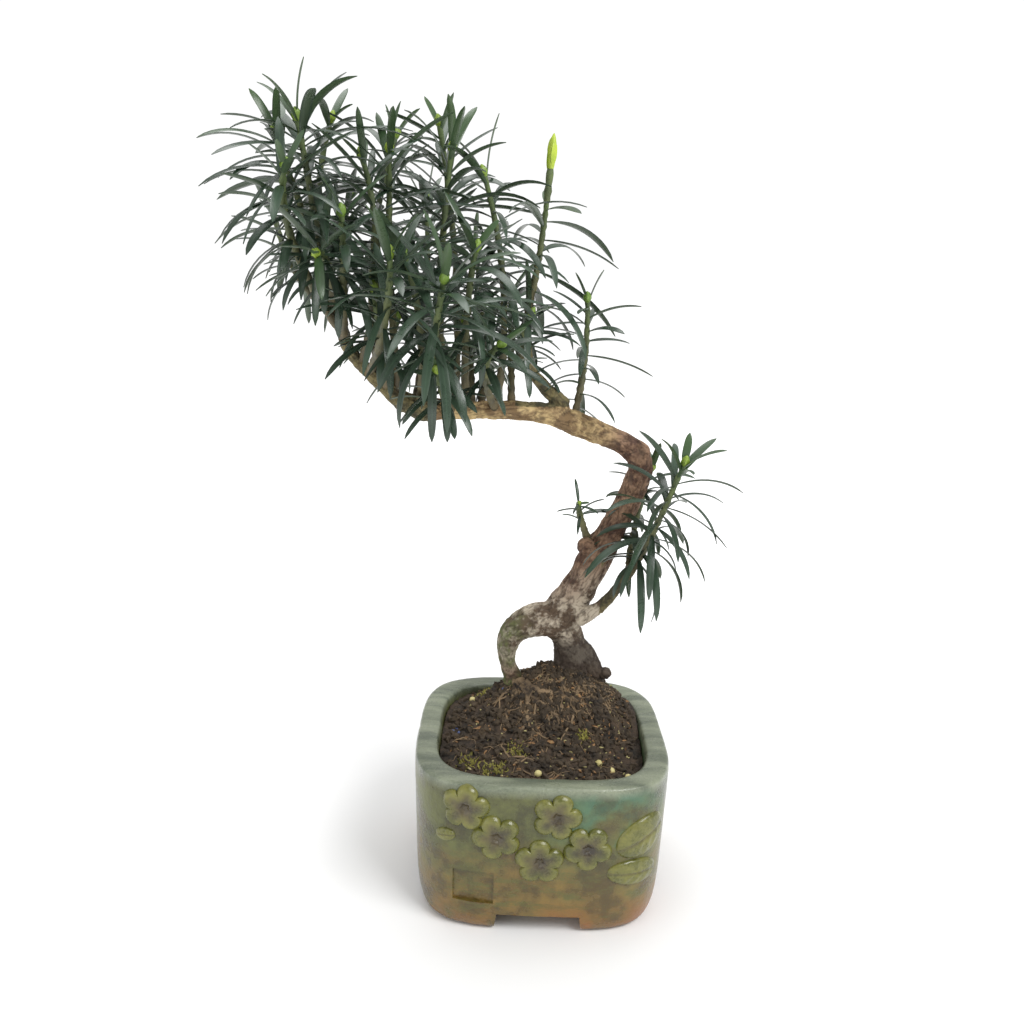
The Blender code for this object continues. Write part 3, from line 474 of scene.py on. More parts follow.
# Bark: its relief, the knots on the limbs as x, y, z and radius, and where its tones start and are full
BARK_SIDES = 28
BARK_VOXEL = 0.55
BARK_FLOW = 0.5
BARK_FLOW_ROUNDS = 6
BARK_LUMP = 0.9
BARK_LUMP_SCALE = 0.13
BARK_PLATE = 0.55
BARK_PLATE_SCALE = 0.42
BARK_PLATE_SHIFT = (3.0, 8.0, 1.0)
BARK_PLATE_GROWTH = 2.4
BARK_PLATE_TOP = 0.6
BARK_STRETCH = 0.72
BARK_FINE = 0.22
BARK_FINE_SCALE = 1.1
BARK_FINE_OCTAVES = (0.9, 2.1, 3)
BARK_CRACK = 0.45
BARK_CRACK_FALL = 7.0
BARK_SLIM = 0.45
BARK_SLIM_REACH = 14.0
KNOTS = (
    (20.0, 17.0, 177.0, 4.6),
    (44.5, 20.0, 226.5, 6.6),
    (-74.0, 0.0, 252.5, 5.4),
    (-64.0, -2.0, 252.0, 4.6),
    (35.5, 29.0, 100.5, 3.2),
)
TONE_WANDER = 9.0
TONE_WANDER_SCALE = 0.05
PALE_TOP = (168.0, 146.0)
PALE_FOOT = (97.0, 111.0)
OCHRE_ABOVE = 228.0
OCHRE_RIGHT = (34.0, 18.0)
OCHRE_LEFT = (-74.0, -60.0)
YOUNG_LEFT = -60.0
YOUNG_LOW = (28.5, 17.0, 172.0)
YOUNG_HIGH = (-20.0, 251.0)
MOSS_LEFT = (-4.0, -12.0)
MOSS_TOP = (140.0, 130.0)
MOSS_SHARE = 0.65
MOSS_PATCHES = 1.4
MOSS_SCALE = 0.13
DARK_RIGHT = (1.0, 8.0)
DARK_TOP = (127.0, 118.0)
DARK_WANDER = 0.4
DARK_FULL = 0.85

# Soil dressing: what is strewn as how many, their distance from the wall and their share on the heap; a
# depth or a run as its least and most; surface roots as heading in degrees, radius and steps
LITTER_SEED = 7
HEAP_SCATTER = (24.0, 20.0)
HEAP_FRONT = 8.0
CLOD_SPREAD = (1700, 3.5, 0.45)
CHIP_SPREAD = (420, 4.5, 0.45)
FLECK_SPREAD = (260, 4.5, 0.3)
LUMP_SCALE = 1.3
LUMP_SHIFT = 99.0
BLUE_PLACES = (
    (-47.0, 2.0),
    (-45.0, 5.0),
    (-44.0, 1.0),
    (-46.0, -2.0),
    (-25.0, 22.0),
    (-23.0, 20.0),
    (-21.0, 23.0),
)
PELLET_PLACES = ((-2.0, -40.0), (35.0, -33.0), (43.0, -38.0), (29.0, -28.0), (-38.0, 30.0), (20.0, 46.0))
FIBRE_COUNT = 420
FIBRE_HEAP_SHARE = 0.72
FIBRE_RADII = (0.16, 0.2, 0.28, 0.28, 0.55)
FIBRE_STEPS = (5, 6, 7, 9, 15)
FIBRE_STRIDE = 2.1
FIBRE_TAPER = 0.6
FIBRE_GIRTH_PLAY = (0.8, 1.25)
FIBRE_ARCH = (0.0, 1.4)
FIBRE_SINK = 0.5
FIBRE_WANDER = 0.75
FIBRE_MARGINS = (6.0, 3.0)
FIBRE_SIDES = 5
FIBRE_LEAST = 3
DOWNHILL_RUN = (2.0, 24.0)
DOWNHILL_WIDTH = 1.2
DOWNHILL_FRONT = 4.0
DOWNHILL_STRAY = 0.7
SURFACE_ROOT_START = (-15.0, 22.0)
SURFACE_ROOT_STRIDE = 1.8
SURFACE_ROOT_TAPER = 0.75
SURFACE_ROOT_GIRTH_PLAY = (0.85, 1.15)
SURFACE_ROOT_SINK = 0.35
SURFACE_ROOT_WANDER = 0.3
SURFACE_ROOT_SIDES = 10
SURFACE_ROOTS = (
    (-18.0, 1.7, 20),
    (-34.0, 2.3, 26),
    (-47.0, 1.5, 28),
    (-62.0, 1.9, 22),
    (-85.0, 1.3, 18),
    (-110.0, 1.1, 14),
)
MOSS_PLACES = (
    (-24.0, -36.0, 9.0),
    (-38.0, -28.0, 6.0),
    (-12.0, -20.0, 6.0),
    (40.0, 38.0, 8.0),
    (-30.0, 34.0, 7.0),
    (22.0, -8.0, 5.0),
)
MOSS_DENSITY = 16
MOSS_SPREAD = (0.42, 0.36)
MOSS_MARGIN = 2.5
MOSS_SINK = 0.4
MOSS_LEAN = 0.6
MOSS_HEIGHTS = (1.4, 3.2)
MOSS_RADII = (0.34, 0.42, 0.1)
MOSS_SIDES = 4


class Litter(NamedTuple):
    """Bits strewn over the soil: how round, their three half sizes, how crumpled, how far up they lie."""

    level: int
    sizes: tuple
    crumple: float
    rise: float


CLODS = Litter(2, ((0.7, 2.6), (0.6, 2.0), (0.5, 1.7)), 0.8, 0.3)
CHIPS = Litter(1, ((0.8, 2.6), (0.4, 1.0), (0.2, 0.5)), 0.5, 0.9)
FLECKS = Litter(1, ((0.4, 1.3), (0.3, 0.8), (0.2, 0.5)), 0.5, 1.0)
GRIT = Litter(1, ((0.7, 1.6), (0.5, 1.0), (0.3, 0.6)), 0.5, 1.0)
PELLETS = Litter(3, ((1.7, 2.0), (1.7, 2.0), (1.6, 1.9)), 0.05, 0.75)

# Tones, each pair from its darkest to its lightest
LEAF_UPPER = (0.024, 0.045, 0.026)
LEAF_LOWER = (0.058, 0.085, 0.05)
LEAF_YOUNG = (0.06, 0.12, 0.03)
BUD_SMALL = ((0.1, 0.19, 0.03), (0.2, 0.31, 0.05))
BUD_BRIGHT = ((0.25, 0.36, 0.025), (0.4, 0.5, 0.045))
BUD_UNDER = (0.16, 0.3, 0.03)
STEM_WOOD = ((0.05, 0.04, 0.022), (0.15, 0.115, 0.06))
STEM_GREEN = ((0.045, 0.075, 0.025), (0.11, 0.16, 0.05))
BARK_RED = ((0.07, 0.032, 0.018), (0.25, 0.15, 0.09))
BARK_PALE = ((0.1, 0.066, 0.04), (0.5, 0.43, 0.33))
BARK_OCHRE = ((0.19, 0.12, 0.055), (0.52, 0.38, 0.18))
BARK_YOUNG = ((0.05, 0.045, 0.02), (0.17, 0.14, 0.06))
BARK_MOSS = ((0.05, 0.07, 0.02), (0.13, 0.15, 0.05))
BARK_DARK = (0.03, 0.02, 0.013)
# The tone of the painted shade laid into the bark's cracks
BARK_CRACK_SHADE = (0.035, 0.022, 0.014)
GLAZE_GREEN = ((0.05, 0.05, 0.014), (0.115, 0.125, 0.032))
GLAZE_TAN = ((0.082, 0.055, 0.012), (0.2, 0.13, 0.027))
GLAZE_STREAK = (0.1, 0.098, 0.02)
GLAZE_TEAL = ((0.035, 0.1, 0.055), (0.06, 0.16, 0.095))
GLAZE_RUST = (0.26, 0.095, 0.018)
GLAZE_RIM = ((0.1, 0.12, 0.08), (0.23, 0.255, 0.175))
PETAL_RAISED = ((0.085, 0.09, 0.016), (0.175, 0.17, 0.035))
PETAL_POOLED = ((0.035, 0.026, 0.015), (0.085, 0.065, 0.026))
SOIL_TONES = ((0.012, 0.009, 0.006), (0.075, 0.05, 0.032))
CRUMB_TONES = ((0.005, 0.0035, 0.0025), (0.075, 0.052, 0.03))
CHIP_TONES = ((0.09, 0.045, 0.02), (0.36, 0.2, 0.085))
FLECK_TONES = ((0.16, 0.13, 0.04), (0.5, 0.44, 0.2))
GRIT_TONES = ((0.03, 0.045, 0.12), (0.1, 0.14, 0.32))
PELLET_TONES = ((0.42, 0.36, 0.13), (0.66, 0.58, 0.27))
ROOT_TONES = ((0.035, 0.022, 0.012), (0.26, 0.18, 0.1))
MOSS_TONES = ((0.07, 0.065, 0.012), (0.33, 0.3, 0.065))

# Glaze: how its streaks and the rim's brush marks are stretched, heights in metres between which it
# changes, and the teal patch's middle and reach to either side
STREAK_STRETCH = (1.0, 1.0, 3.5)
BRUSH_STRETCH = (1.0, 5.0, 1.0)
GLAZE_WANDER = 0.016
GREEN_HEIGHTS = (0.03, 0.058)
TEAL_HEIGHTS = (0.056, 0.07)
TEAL_MIDDLE = 0.034
TEAL_REACH = (0.006, 0.034)
RUST_HEIGHTS = (0.004, 0.02)
RIM_HEIGHTS = (0.0745, 0.0795)

# Stage, in metres: the floor's glow away from the object, the lamps as place, size and watts, and the
# photograph's camera
FLOOR_SIZE = 30.0
FLOOR_TONE = (0.88, 0.88, 0.88)
FLOOR_GLOW = (0.22, 0.7)
FLOOR_GLOW_STRENGTH = 0.6
WHITE = (1.0, 1.0, 1.0)
SKY_LIGHT = 0.6
SKY_SEEN = 1.05
LAMPS = {
    "key": ((0.75, -0.75, 1.25), 0.7, 17.0),
    "top": ((-0.2, 0.35, 1.5), 0.9, 9.0),
    "fill": ((-1.1, -0.8, 0.6), 1.0, 4.0),
}
LAMP_TARGET = (0.0, 0.0, 0.2)
CAMERA_PLACE = (-0.0195, -0.489, 0.323)
CAMERA_PITCH = math.radians(14.3)
CAMERA_ROLL = math.radians(2.0)
CAMERA_LENS = 35.16
CAMERA_SENSOR = 36.0


def deselect():
    """Leaves nothing selected, so that an operator acts only on what it is given."""
    for obj in bpy.context.selected_objects:
        obj.select_set(False)


def make_current(obj):
    """Selects one object alone."""
    deselect()
    obj.select_set(True)
    bpy.context.view_layer.objects.active = obj


def apply_modifiers(obj):
    """Applies an object's modifiers in order."""
    make_current(obj)
    for modifier in list(obj.modifiers):
        bpy.ops.object.modifier_apply(modifier=modifier.name)


def linked(name, data):
    """A new object in the scene."""
    obj = bpy.data.objects.new(name, data)
    bpy.context.scene.collection.objects.link(obj)
    return obj


def mesh_piece(name, points, faces):
    """An object from points in millimetres and faces."""
    mesh = bpy.data.meshes.new(name)
    mesh.from_pydata((np.asarray(points, dtype=float) * MM).tolist(), [], faces)
    return linked(name, mesh)


def face_outwards(obj):
    """Welds doubled points and turns the faces outwards."""
    make_current(obj)
    bpy.ops.object.mode_set(mode="EDIT")
    bpy.ops.mesh.select_all(action="SELECT")
    bpy.ops.mesh.remove_doubles(threshold=WELD)
    bpy.ops.mesh.normals_make_consistent(inside=False)
    bpy.ops.object.mode_set(mode="OBJECT")


def finish_piece(obj, material, nodes, smooth):
    """Gives a piece its material, smooth shading and its body, and hides the solids of the nodes that it
    stands for.
    """
    obj.data.materials.clear()
    obj.data.materials.append(material)
    make_current(obj)
    bpy.ops.object.shade_smooth_by_angle(angle=math.radians(smooth))
    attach(obj, "root")
    if nodes:
        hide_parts(*nodes)


def set_attribute(obj, name, values):
    """Stores one number per point for the materials to read."""
    attribute = obj.data.attributes.new(name, "FLOAT", "POINT")
    attribute.data.foreach_set("value", np.asarray(values, dtype=np.float32))


def mix(low, high, share):
    """The value `share` of the way from low to high."""
    return low + (high - low) * share


def ramp(value, start, full):
    """0 at the start, 1 where it is full, and held at those beyond them."""
    return min(1.0, max(0.0, (value - start) / (full - start)))


def bell(away, reach):
    """1 in the middle and near 0 beyond its reach."""
    return math.exp(-((away / reach) ** 2))


def read_table(table, at):
    """Reads a table of (place, value) rows at a place between its rows."""
    for (start, low), (end, high) in zip(table, table[1:]):
        if at <= end:
            return mix(low, high, (at - start) / (end - start))
    return table[-1][1]


# The solids' own rules for the pot's plan, the limbs, the stems and the leaves


def plan_push(across, along):
    """How far the pot's rounded square plan stands out from a circle, in a direction."""
    return (abs(across) ** POT_SQUARENESS + abs(along) ** POT_SQUARENESS) ** (-1.0 / POT_SQUARENESS)


def squared(x, y):
    """Moves a point of a circle out to the same place on the pot's rounded square plan."""
    reach = math.hypot(x, y)
    if reach <= DRAIN_RADIUS:
        return x, y
    share = min(1.0, (reach - DRAIN_RADIUS) / (2.0 * DRAIN_RADIUS))
    push = mix(1.0, plan_push(x / reach, y / reach), share)
    return x * push, y * push


def wall_half(height):
    """The pot's outer half width at a height."""
    return read_table([(-z, half) for half, z in POT_OUTSIDE], -height)


def wall_arc_table(steps=180):
    """Rows of (way round the wall from the middle of its front, angle), on a plan of half width 1."""
    rows = [(0.0, 0.0)]
    before = Vector((0.0, -1.0))
    for step in range(1, steps + 1):
        angle = WALL_HALF_ANGLE * step / steps
        across = math.sin(angle)
        along = math.cos(angle)
        push = plan_push(across, along)
        point = Vector((across * push, -along * push))
        rows.append((rows[-1][0] + (point - before).length, angle))
        before = point
    return rows


WALL_ARCS = wall_arc_table()


def wall_place(way, height, lift):
    """The place `way` round the front wall from its middle, at a height, lifted off the wall."""
    half = wall_half(height)
    angle = math.copysign(read_table(WALL_ARCS, abs(way) / half), way)
    across = math.sin(angle)
    along = math.cos(angle)
    push = plan_push(across, along)
    power = POT_SQUARENESS - 1.0
    normal = Vector((math.copysign(abs(across) ** power, across), -(along**power), 0.0)).normalized()
    return Vector((across * push * half, -along * push * half, height)) + normal * lift


def soil_height(x, y):
    """The soil's surface: a low swell over the pot, and the steep heap under the roots."""
    across = (x - HEAP_CENTRE[0]) / HEAP_REACH[0]
    along = (y - HEAP_CENTRE[1]) / HEAP_REACH[1]
    heap = HEAP_RISE * math.exp(-0.5 * (across**2 + along**2))
    swell = SWELL_RISE * math.cos(min(1.0, math.hypot(x, y) / SWELL_REACH) * math.pi / 2.0)
    ripple = RIPPLE_RISE * math.sin(x * RIPPLE_TURNS[0] + 1.0) * math.cos(y * RIPPLE_TURNS[1])
    return SOIL_LEVEL + heap + swell + ripple


def smooth_route(knots, between=3):
    """Points and radii on a smooth curve through knots of x, y, z and radius."""
    rows = [Vector(knot) for knot in knots]
    ends = [rows[0] * 2.0 - rows[1]] + rows + [rows[-1] * 2.0 - rows[-2]]
    route = []
    for a, b, c, d in zip(ends, ends[1:], ends[2:], ends[3:]):
        for step in range(between):
            t = step / between
            bend = b * 2.0 + (c - a) * t
            bend += (a * 2.0 - b * 5.0 + c * 4.0 - d) * t**2 + (b * 3.0 - a - c * 3.0 + d) * t**3
            route.append(bend * 0.5)
    route.append(rows[-1])
    return [(Vector(row[:3]), row[3]) for row in route]


def limb_route(knots, before=None, after=None):
    """A limb's route, its ends cut square to the bend at its neighbours' knots before and after it."""
    route = smooth_route(knots)
    if before:
        route = square_end(route[::-1], knots[1], before)[::-1]
    if after:
        route = square_end(route, knots[-2], after)
    return route


def square_end(route, last, beyond):
    """Ends a route half a gap early, with a short straight run from knot `last` towards `beyond`."""
    end, radius = route[-1]
    heading = (Vector(beyond[:3]) - Vector(last[:3])).normalized()
    run = mix(route[-2][1], radius, 0.5)
    return route[:-2] + [(end - heading * LIMB_END_RUN, run), (end - heading * GAP / 2.0, radius)]


def seat(route, share, aim):
    """Where a shoot leaves a limb: the place, a gap off the limb's side or end, and the way out of it."""
    if share >= 1.0:
        end = route[-1][0]
        heading = (end - route[-2][0]).normalized()
        return end + heading * GAP, heading
    at = share * (len(route) - 1)
    index = min(int(at), len(route) - 2)
    near, near_radius = route[index]
    far, far_radius = route[index + 1]
    centre = near.lerp(far, at - index)
    radius = mix(near_radius, far_radius, at - index)
    heading = (far - near).normalized()
    out = aim - centre
    out = (out - heading * out.dot(heading)).normalized()
    return centre + out * (radius + GAP), out


def branch_route(limb, share, knots):
    """A bough that starts on a limb's side and goes through knots."""
    first = Vector(knots[0][:3])
    start, out = seat(limb, share, first)
    radius = knots[0][3] * BOUGH_FLARE
    route = smooth_route([(*(start + out * BOUGH_RUN), radius)] + list(knots))
    return [(start, radius)] + route


def limb_routes():
    """The routes that the limbs' solids follow, for the shoots to sit on."""
    routes = {
        "trunk_lower": limb_route(TRUNK_LOWER, after=TRUNK_UPPER[1]),
        "trunk_upper": limb_route(TRUNK_UPPER, before=TRUNK_LOWER[-2], after=BOUGH_LEFT[1]),
        "bough_left": limb_route(BOUGH_LEFT, before=TRUNK_UPPER[-2]),
    }
    routes["bough_candle"] = branch_route(routes["trunk_upper"], BOUGH_CANDLE_SHARE, BOUGH_CANDLE)
    routes["bough_right"] = branch_route(routes["trunk_lower"], BOUGH_RIGHT_SHARE, BOUGH_RIGHT)
    return routes


class Stem:
    """A shoot's stem: a curve from its seat on a limb, by its bend, to its tip."""

    def __init__(self, shoot, limb):
        self.bend = Vector(shoot.bend)
        self.tip = Vector(shoot.tip)
        self.foot, self.out = seat(limb, shoot.share, self.bend)

    def place(self, share):
        """The point this far along the stem."""
        left = 1.0 - share
        return self.foot * left**2 + self.bend * (2.0 * share * left) + self.tip * share**2

    def heading(self, share):
        """The way the stem points there."""
        return ((self.bend - self.foot) * (1.0 - share) + (self.tip - self.bend) * share).normalized()


class Leaf(NamedTuple):
    """A leaf's middle line, the way across it, the way its underside faces, and its greatest half width."""

    line: list
    across: list
    under: list
    half: float


def side_of(heading):
    """A way square to a heading, for a spiral to start from."""
    return heading.cross(Vector(SPIRAL_SIDE)).normalized()


def grow_leaves(shoot, stem):
    """The shoot's leaves, set in a spiral up its stem."""
    draw = random.Random(shoot.seed)
    phase = draw.uniform(0.0, 2.0 * math.pi)
    leaves = []
    for index in range(shoot.leaves):
        age = index / (shoot.leaves - 1)
        share = mix(shoot.bare, STEM_TOP, age**LEAF_CROWDING)
        heading = stem.heading(share)
        side = side_of(heading)
        turn = phase + index * LEAF_TURN + draw.uniform(-LEAF_TURN_PLAY, LEAF_TURN_PLAY)
        outward = side * math.cos(turn) + heading.cross(side) * math.sin(turn)
        spread = max(read_table(LEAF_SPREAD, age), shoot.opened) * shoot.spread
        rise = math.radians(spread + draw.uniform(-LEAF_SPREAD_PLAY, LEAF_SPREAD_PLAY))
        bend = read_table(LEAF_DROOP, age) * shoot.droop
        droop = math.radians(bend + draw.uniform(-LEAF_DROOP_PLAY, LEAF_DROOP_PLAY))
        length = shoot.leaf * read_table(LEAF_LENGTH, age) * draw.uniform(*LEAF_LENGTH_PLAY)
        twist = math.radians(draw.uniform(-LEAF_TWIST_PLAY, LEAF_TWIST_PLAY))
        start = (heading * math.cos(rise) + outward * math.sin(rise)).normalized()
        leaves.append(bent_leaf(stem.place(share), start, outward, droop, length, twist, shoot.width / 2.0))
    return leaves


def bent_leaf(foot, start, outward, droop, length, twist, half):
    """A leaf that leaves the stem along `start` and bends down by `droop` towards its tip."""
    down = Vector((0.0, 0.0, -1.0)) + outward * LEAF_FALL
    down = (down - start * down.dot(start)).normalized()
    flat = start.cross(down)
    line = [foot]
    headings = [start]
    for step in range(LEAF_STEPS):
        bent = droop * ((step + 0.5) / LEAF_STEPS) ** LEAF_BEND
        heading = start * math.cos(bent) + down * math.sin(bent)
        line.append(line[-1] + heading * length / LEAF_STEPS)
        headings.append(heading)
    across = [flat * math.cos(twist) + flat.cross(heading) * math.sin(twist) for heading in headings]
    under = [side.cross(heading) for side, heading in zip(across, headings)]
    return Leaf(line, across, under, half)


# Materials


def feed(tree, value, socket):
    """Sets a socket to a number or a colour, or links another socket to it."""
    if isinstance(value, float):
        socket.default_value = value
    elif isinstance(value, tuple):
        socket.default_value = (*value, 1.0)
    else:
        tree.links.new(value, socket)


def new_group(name, inputs, output):
    """An empty node group that takes a place and named numbers, and gives one number."""
    group = bpy.data.node_groups.new(name, "ShaderNodeTree")
    group.interface.new_socket("Place", in_out="INPUT", socket_type="NodeSocketVector")
    for title, value in inputs.items():
        socket = group.interface.new_socket(title, in_out="INPUT", socket_type="NodeSocketFloat")
        socket.default_value = value
    group.interface.new_socket(output, in_out="OUTPUT", socket_type="NodeSocketFloat")
    return group, group.nodes.new("NodeGroupInput").outputs, group.nodes.new("NodeGroupOutput").inputs


def noise_value(tree, place, scale, detail, rough=0.55):
    """Noise over a place."""
    node = tree.nodes.new("ShaderNodeTexNoise")
    node.inputs["Detail"].default_value = detail
    node.inputs["Roughness"].default_value = rough
    feed(tree, place, node.inputs["Vector"])
    feed(tree, scale, node.inputs["Scale"])
    return node.outputs["Fac"]


def map_range(tree, value, low, high, to_low=0.0, to_high=1.0):
    """A value brought from one range to another and held inside it."""
    node = tree.nodes.new("ShaderNodeMapRange")
    feed(tree, value, node.inputs["Value"])
    for title, end in (("From Min", low), ("From Max", high), ("To Min", to_low), ("To Max", to_high)):
        feed(tree, end, node.inputs[title])
    return node.outputs["Result"]


def math_node(tree, operation, first, second):
    """Arithmetic on two values."""
    node = tree.nodes.new("ShaderNodeMath")
    node.operation = operation
    feed(tree, first, node.inputs[0])
    feed(tree, second, node.inputs[1])
    return node.outputs["Value"]


def weighed(tree, first, share, second):
    """Two values added, the first with this share of the weight."""
    part = math_node(tree, "MULTIPLY", first, share)
    rest = math_node(tree, "MULTIPLY", second, 1.0 - share)
    return math_node(tree, "ADD", part, rest)


def build_mottle():
    """A node group: soft patches with finer speckle over them."""
    numbers = {"Patches": 40.0, "Speckle": 400.0, "Low": 0.4, "High": 0.6}
    group, given, result = new_group("mottle", numbers, "Mask")
    patches = noise_value(group, given["Place"], given["Patches"], 4.0)
    speckle = noise_value(group, given["Place"], given["Speckle"], 3.0)
    both = weighed(group, patches, 0.7, speckle)
    feed(group, map_range(group, both, given["Low"], given["High"]), result["Mask"])
    return group


def build_grain():
    """A node group: fine pits and coarser swells, as a height for bump."""
    group, given, result = new_group("grain", {"Fine": 900.0, "Coarse": 120.0}, "Height")
    fine = noise_value(group, given["Place"], given["Fine"], 5.0, rough=0.65)
    coarse = noise_value(group, given["Place"], given["Coarse"], 3.0)
    feed(group, weighed(group, fine, 0.45, coarse), result["Height"])
    return group


MOTTLE = build_mottle()
GRAIN = build_grain()


class Finish:
    """A material being built: its tree, its shader and the place that its patterns read."""

    def __init__(self, name):
        self.material = bpy.data.materials.new(name)
        self.material.use_nodes = True
        self.tree = self.material.node_tree
        self.shader = self.tree.nodes["Principled BSDF"]
        self.place = self.tree.nodes.new("ShaderNodeTexCoord").outputs["Object"]
        split = self.tree.nodes.new("ShaderNodeSeparateXYZ")
        feed(self.tree, self.place, split.inputs["Vector"])
        self.axes = split.outputs

    def stretched(self, scale):
        """The place stretched along the axes."""
        node = self.tree.nodes.new("ShaderNodeMapping")
        node.inputs["Scale"].default_value = scale
        feed(self.tree, self.place, node.inputs["Vector"])
        return node.outputs["Vector"]

    def group(self, tree, output, place, **numbers):
        """A node group in the material, on a place, with its own numbers."""
        node = self.tree.nodes.new("ShaderNodeGroup")
        node.node_tree = tree
        feed(self.tree, place, node.inputs["Place"])
        for title, value in numbers.items():
            node.inputs[title].default_value = value
        return node.outputs[output]

    def mottle(self, patches, speckle, low, high, place=None):
        """A mask of patches and speckle."""
        place = place or self.place
        return self.group(MOTTLE, "Mask", place, Patches=patches, Speckle=speckle, Low=low, High=high)

    def attribute(self, name):
        """A number that the mesh carries."""
        node = self.tree.nodes.new("ShaderNodeAttribute")
        node.attribute_name = name
        return node.outputs["Fac"]

    def range(self, value, low, high, to_low=0.0, to_high=1.0):
        """A value brought from one range to another."""
        return map_range(self.tree, value, low, high, to_low, to_high)

    def math(self, operation, first, second):
        """Arithmetic on two values."""
        return math_node(self.tree, operation, first, second)

    def over(self, mask, first, second):
        """The first colour, and the second where the mask is."""
        node = self.tree.nodes.new("ShaderNodeMix")
        node.data_type = "RGBA"
        feed(self.tree, mask, node.inputs["Factor"])
        feed(self.tree, first, node.inputs[6])
        feed(self.tree, second, node.inputs[7])
        return node.outputs[2]

    def colour(self, value):
        """Sets the base colour."""
        feed(self.tree, value, self.shader.inputs["Base Color"])

    def rough(self, mask, low, high):
        """Roughness that runs from low to high over a mask."""
        feed(self.tree, self.range(mask, 0.0, 1.0, low, high), self.shader.inputs["Roughness"])

    def coat(self):
        """A thin clear coat, as glaze has."""
        self.shader.inputs["Coat Weight"].default_value = 0.25
        self.shader.inputs["Coat Roughness"].default_value = 0.2

    def bump(self, fine, coarse, distance, strength=1.0):
        """Relief too fine to model."""
        bump = self.tree.nodes.new("ShaderNodeBump")
        bump.inputs["Strength"].default_value = strength
        bump.inputs["Distance"].default_value = distance
        height = self.group(GRAIN, "Height", self.place, Fine=fine, Coarse=coarse)
        feed(self.tree, height, bump.inputs["Height"])
        feed(self.tree, bump.outputs["Normal"], self.shader.inputs["Normal"])


def toned(colour, gain):
    """A colour made darker or lighter."""
    return tuple(value * gain for value in colour)


def make_leaf_finish():
    """Leathery leaf: a darker face, a paler back, a fine pale rib and a fresher tone where it is young."""
    finish = Finish("leaf_green")
    tone = finish.mottle(patches=60.0, speckle=700.0, low=0.38, high=0.62)
    tint = finish.range(finish.attribute("tint"), 0.0, 1.0, 0.0, 0.55)
    rib = finish.range(finish.attribute("rib"), 0.6, 1.0, 0.0, 0.4)
    face = finish.over(tone, toned(LEAF_UPPER, 0.62), LEAF_UPPER)
    face = finish.over(tint, face, toned(LEAF_UPPER, 1.7))
    face = finish.over(rib, face, toned(LEAF_UPPER, 2.2))
    face = finish.over(finish.attribute("under"), face, LEAF_LOWER)
    finish.colour(finish.over(finish.attribute("young"), face, LEAF_YOUNG))
    finish.rough(tone, low=0.24, high=0.38)
    finish.bump(fine=1800.0, coarse=260.0, distance=0.00012, strength=0.6)
    finish.shader.inputs["Specular IOR Level"].default_value = 0.55
    return finish.material


def make_bud_finish():
    """Fresh bud scales: bright yellow-green on the candle, quieter on the small buds."""
    finish = Finish("fresh_bud")
    tone = finish.mottle(patches=120.0, speckle=900.0, low=0.35, high=0.65)
    small = finish.over(tone, *BUD_SMALL)
    fresh = finish.over(finish.attribute("tint"), small, finish.over(tone, *BUD_BRIGHT))
    finish.colour(finish.over(finish.attribute("under"), fresh, BUD_UNDER))
    finish.rough(tone, low=0.36, high=0.5)
    finish.bump(fine=1500.0, coarse=300.0, distance=0.0001)
    return finish.material


def make_stem_finish():
    """Shoot stem: brown and scarred below, green towards the tip."""
    finish = Finish("shoot_stem")
    tone = finish.mottle(patches=160.0, speckle=1200.0, low=0.36, high=0.64)
    wood = finish.over(tone, *STEM_WOOD)
    green = finish.over(tone, *STEM_GREEN)
    finish.colour(finish.over(finish.attribute("young"), wood, green))
    finish.rough(tone, low=0.5, high=0.75)
    finish.bump(fine=1600.0, coarse=420.0, distance=0.0004)
    return finish.material


def make_bark_finish():
    """Bark: pale grey-tan with brown patches below, red-brown in the middle, ochre and flaking above, and
    painted shade in its cracks.
    """
    finish = Finish("bark")
    patch = finish.mottle(patches=95.0, speckle=420.0, low=0.44, high=0.56)
    flake = finish.mottle(patches=260.0, speckle=1500.0, low=0.42, high=0.6)
    tone = finish.over(patch, *BARK_RED)
    for name, tones in (("pale", BARK_PALE), ("ochre", BARK_OCHRE), ("shoot", BARK_YOUNG)):
        tone = finish.over(finish.attribute(name), tone, finish.over(patch, *tones))
    moss = finish.math("MULTIPLY", finish.attribute("moss"), finish.range(flake, 0.0, 1.0, 0.4, 1.0))
    tone = finish.over(moss, tone, finish.over(flake, *BARK_MOSS))
    tone = finish.over(finish.attribute("dark"), tone, BARK_DARK)
    # Painted shade: the deep mask darkens the bark where its relief is sunk into cracks
    deep = finish.range(finish.attribute("deep"), 0.0, 1.0, 0.0, 0.6)
    finish.colour(finish.over(deep, tone, BARK_CRACK_SHADE))
    finish.rough(flake, low=0.7, high=0.92)
    finish.bump(fine=1400.0, coarse=380.0, distance=0.0011)
    return finish.material


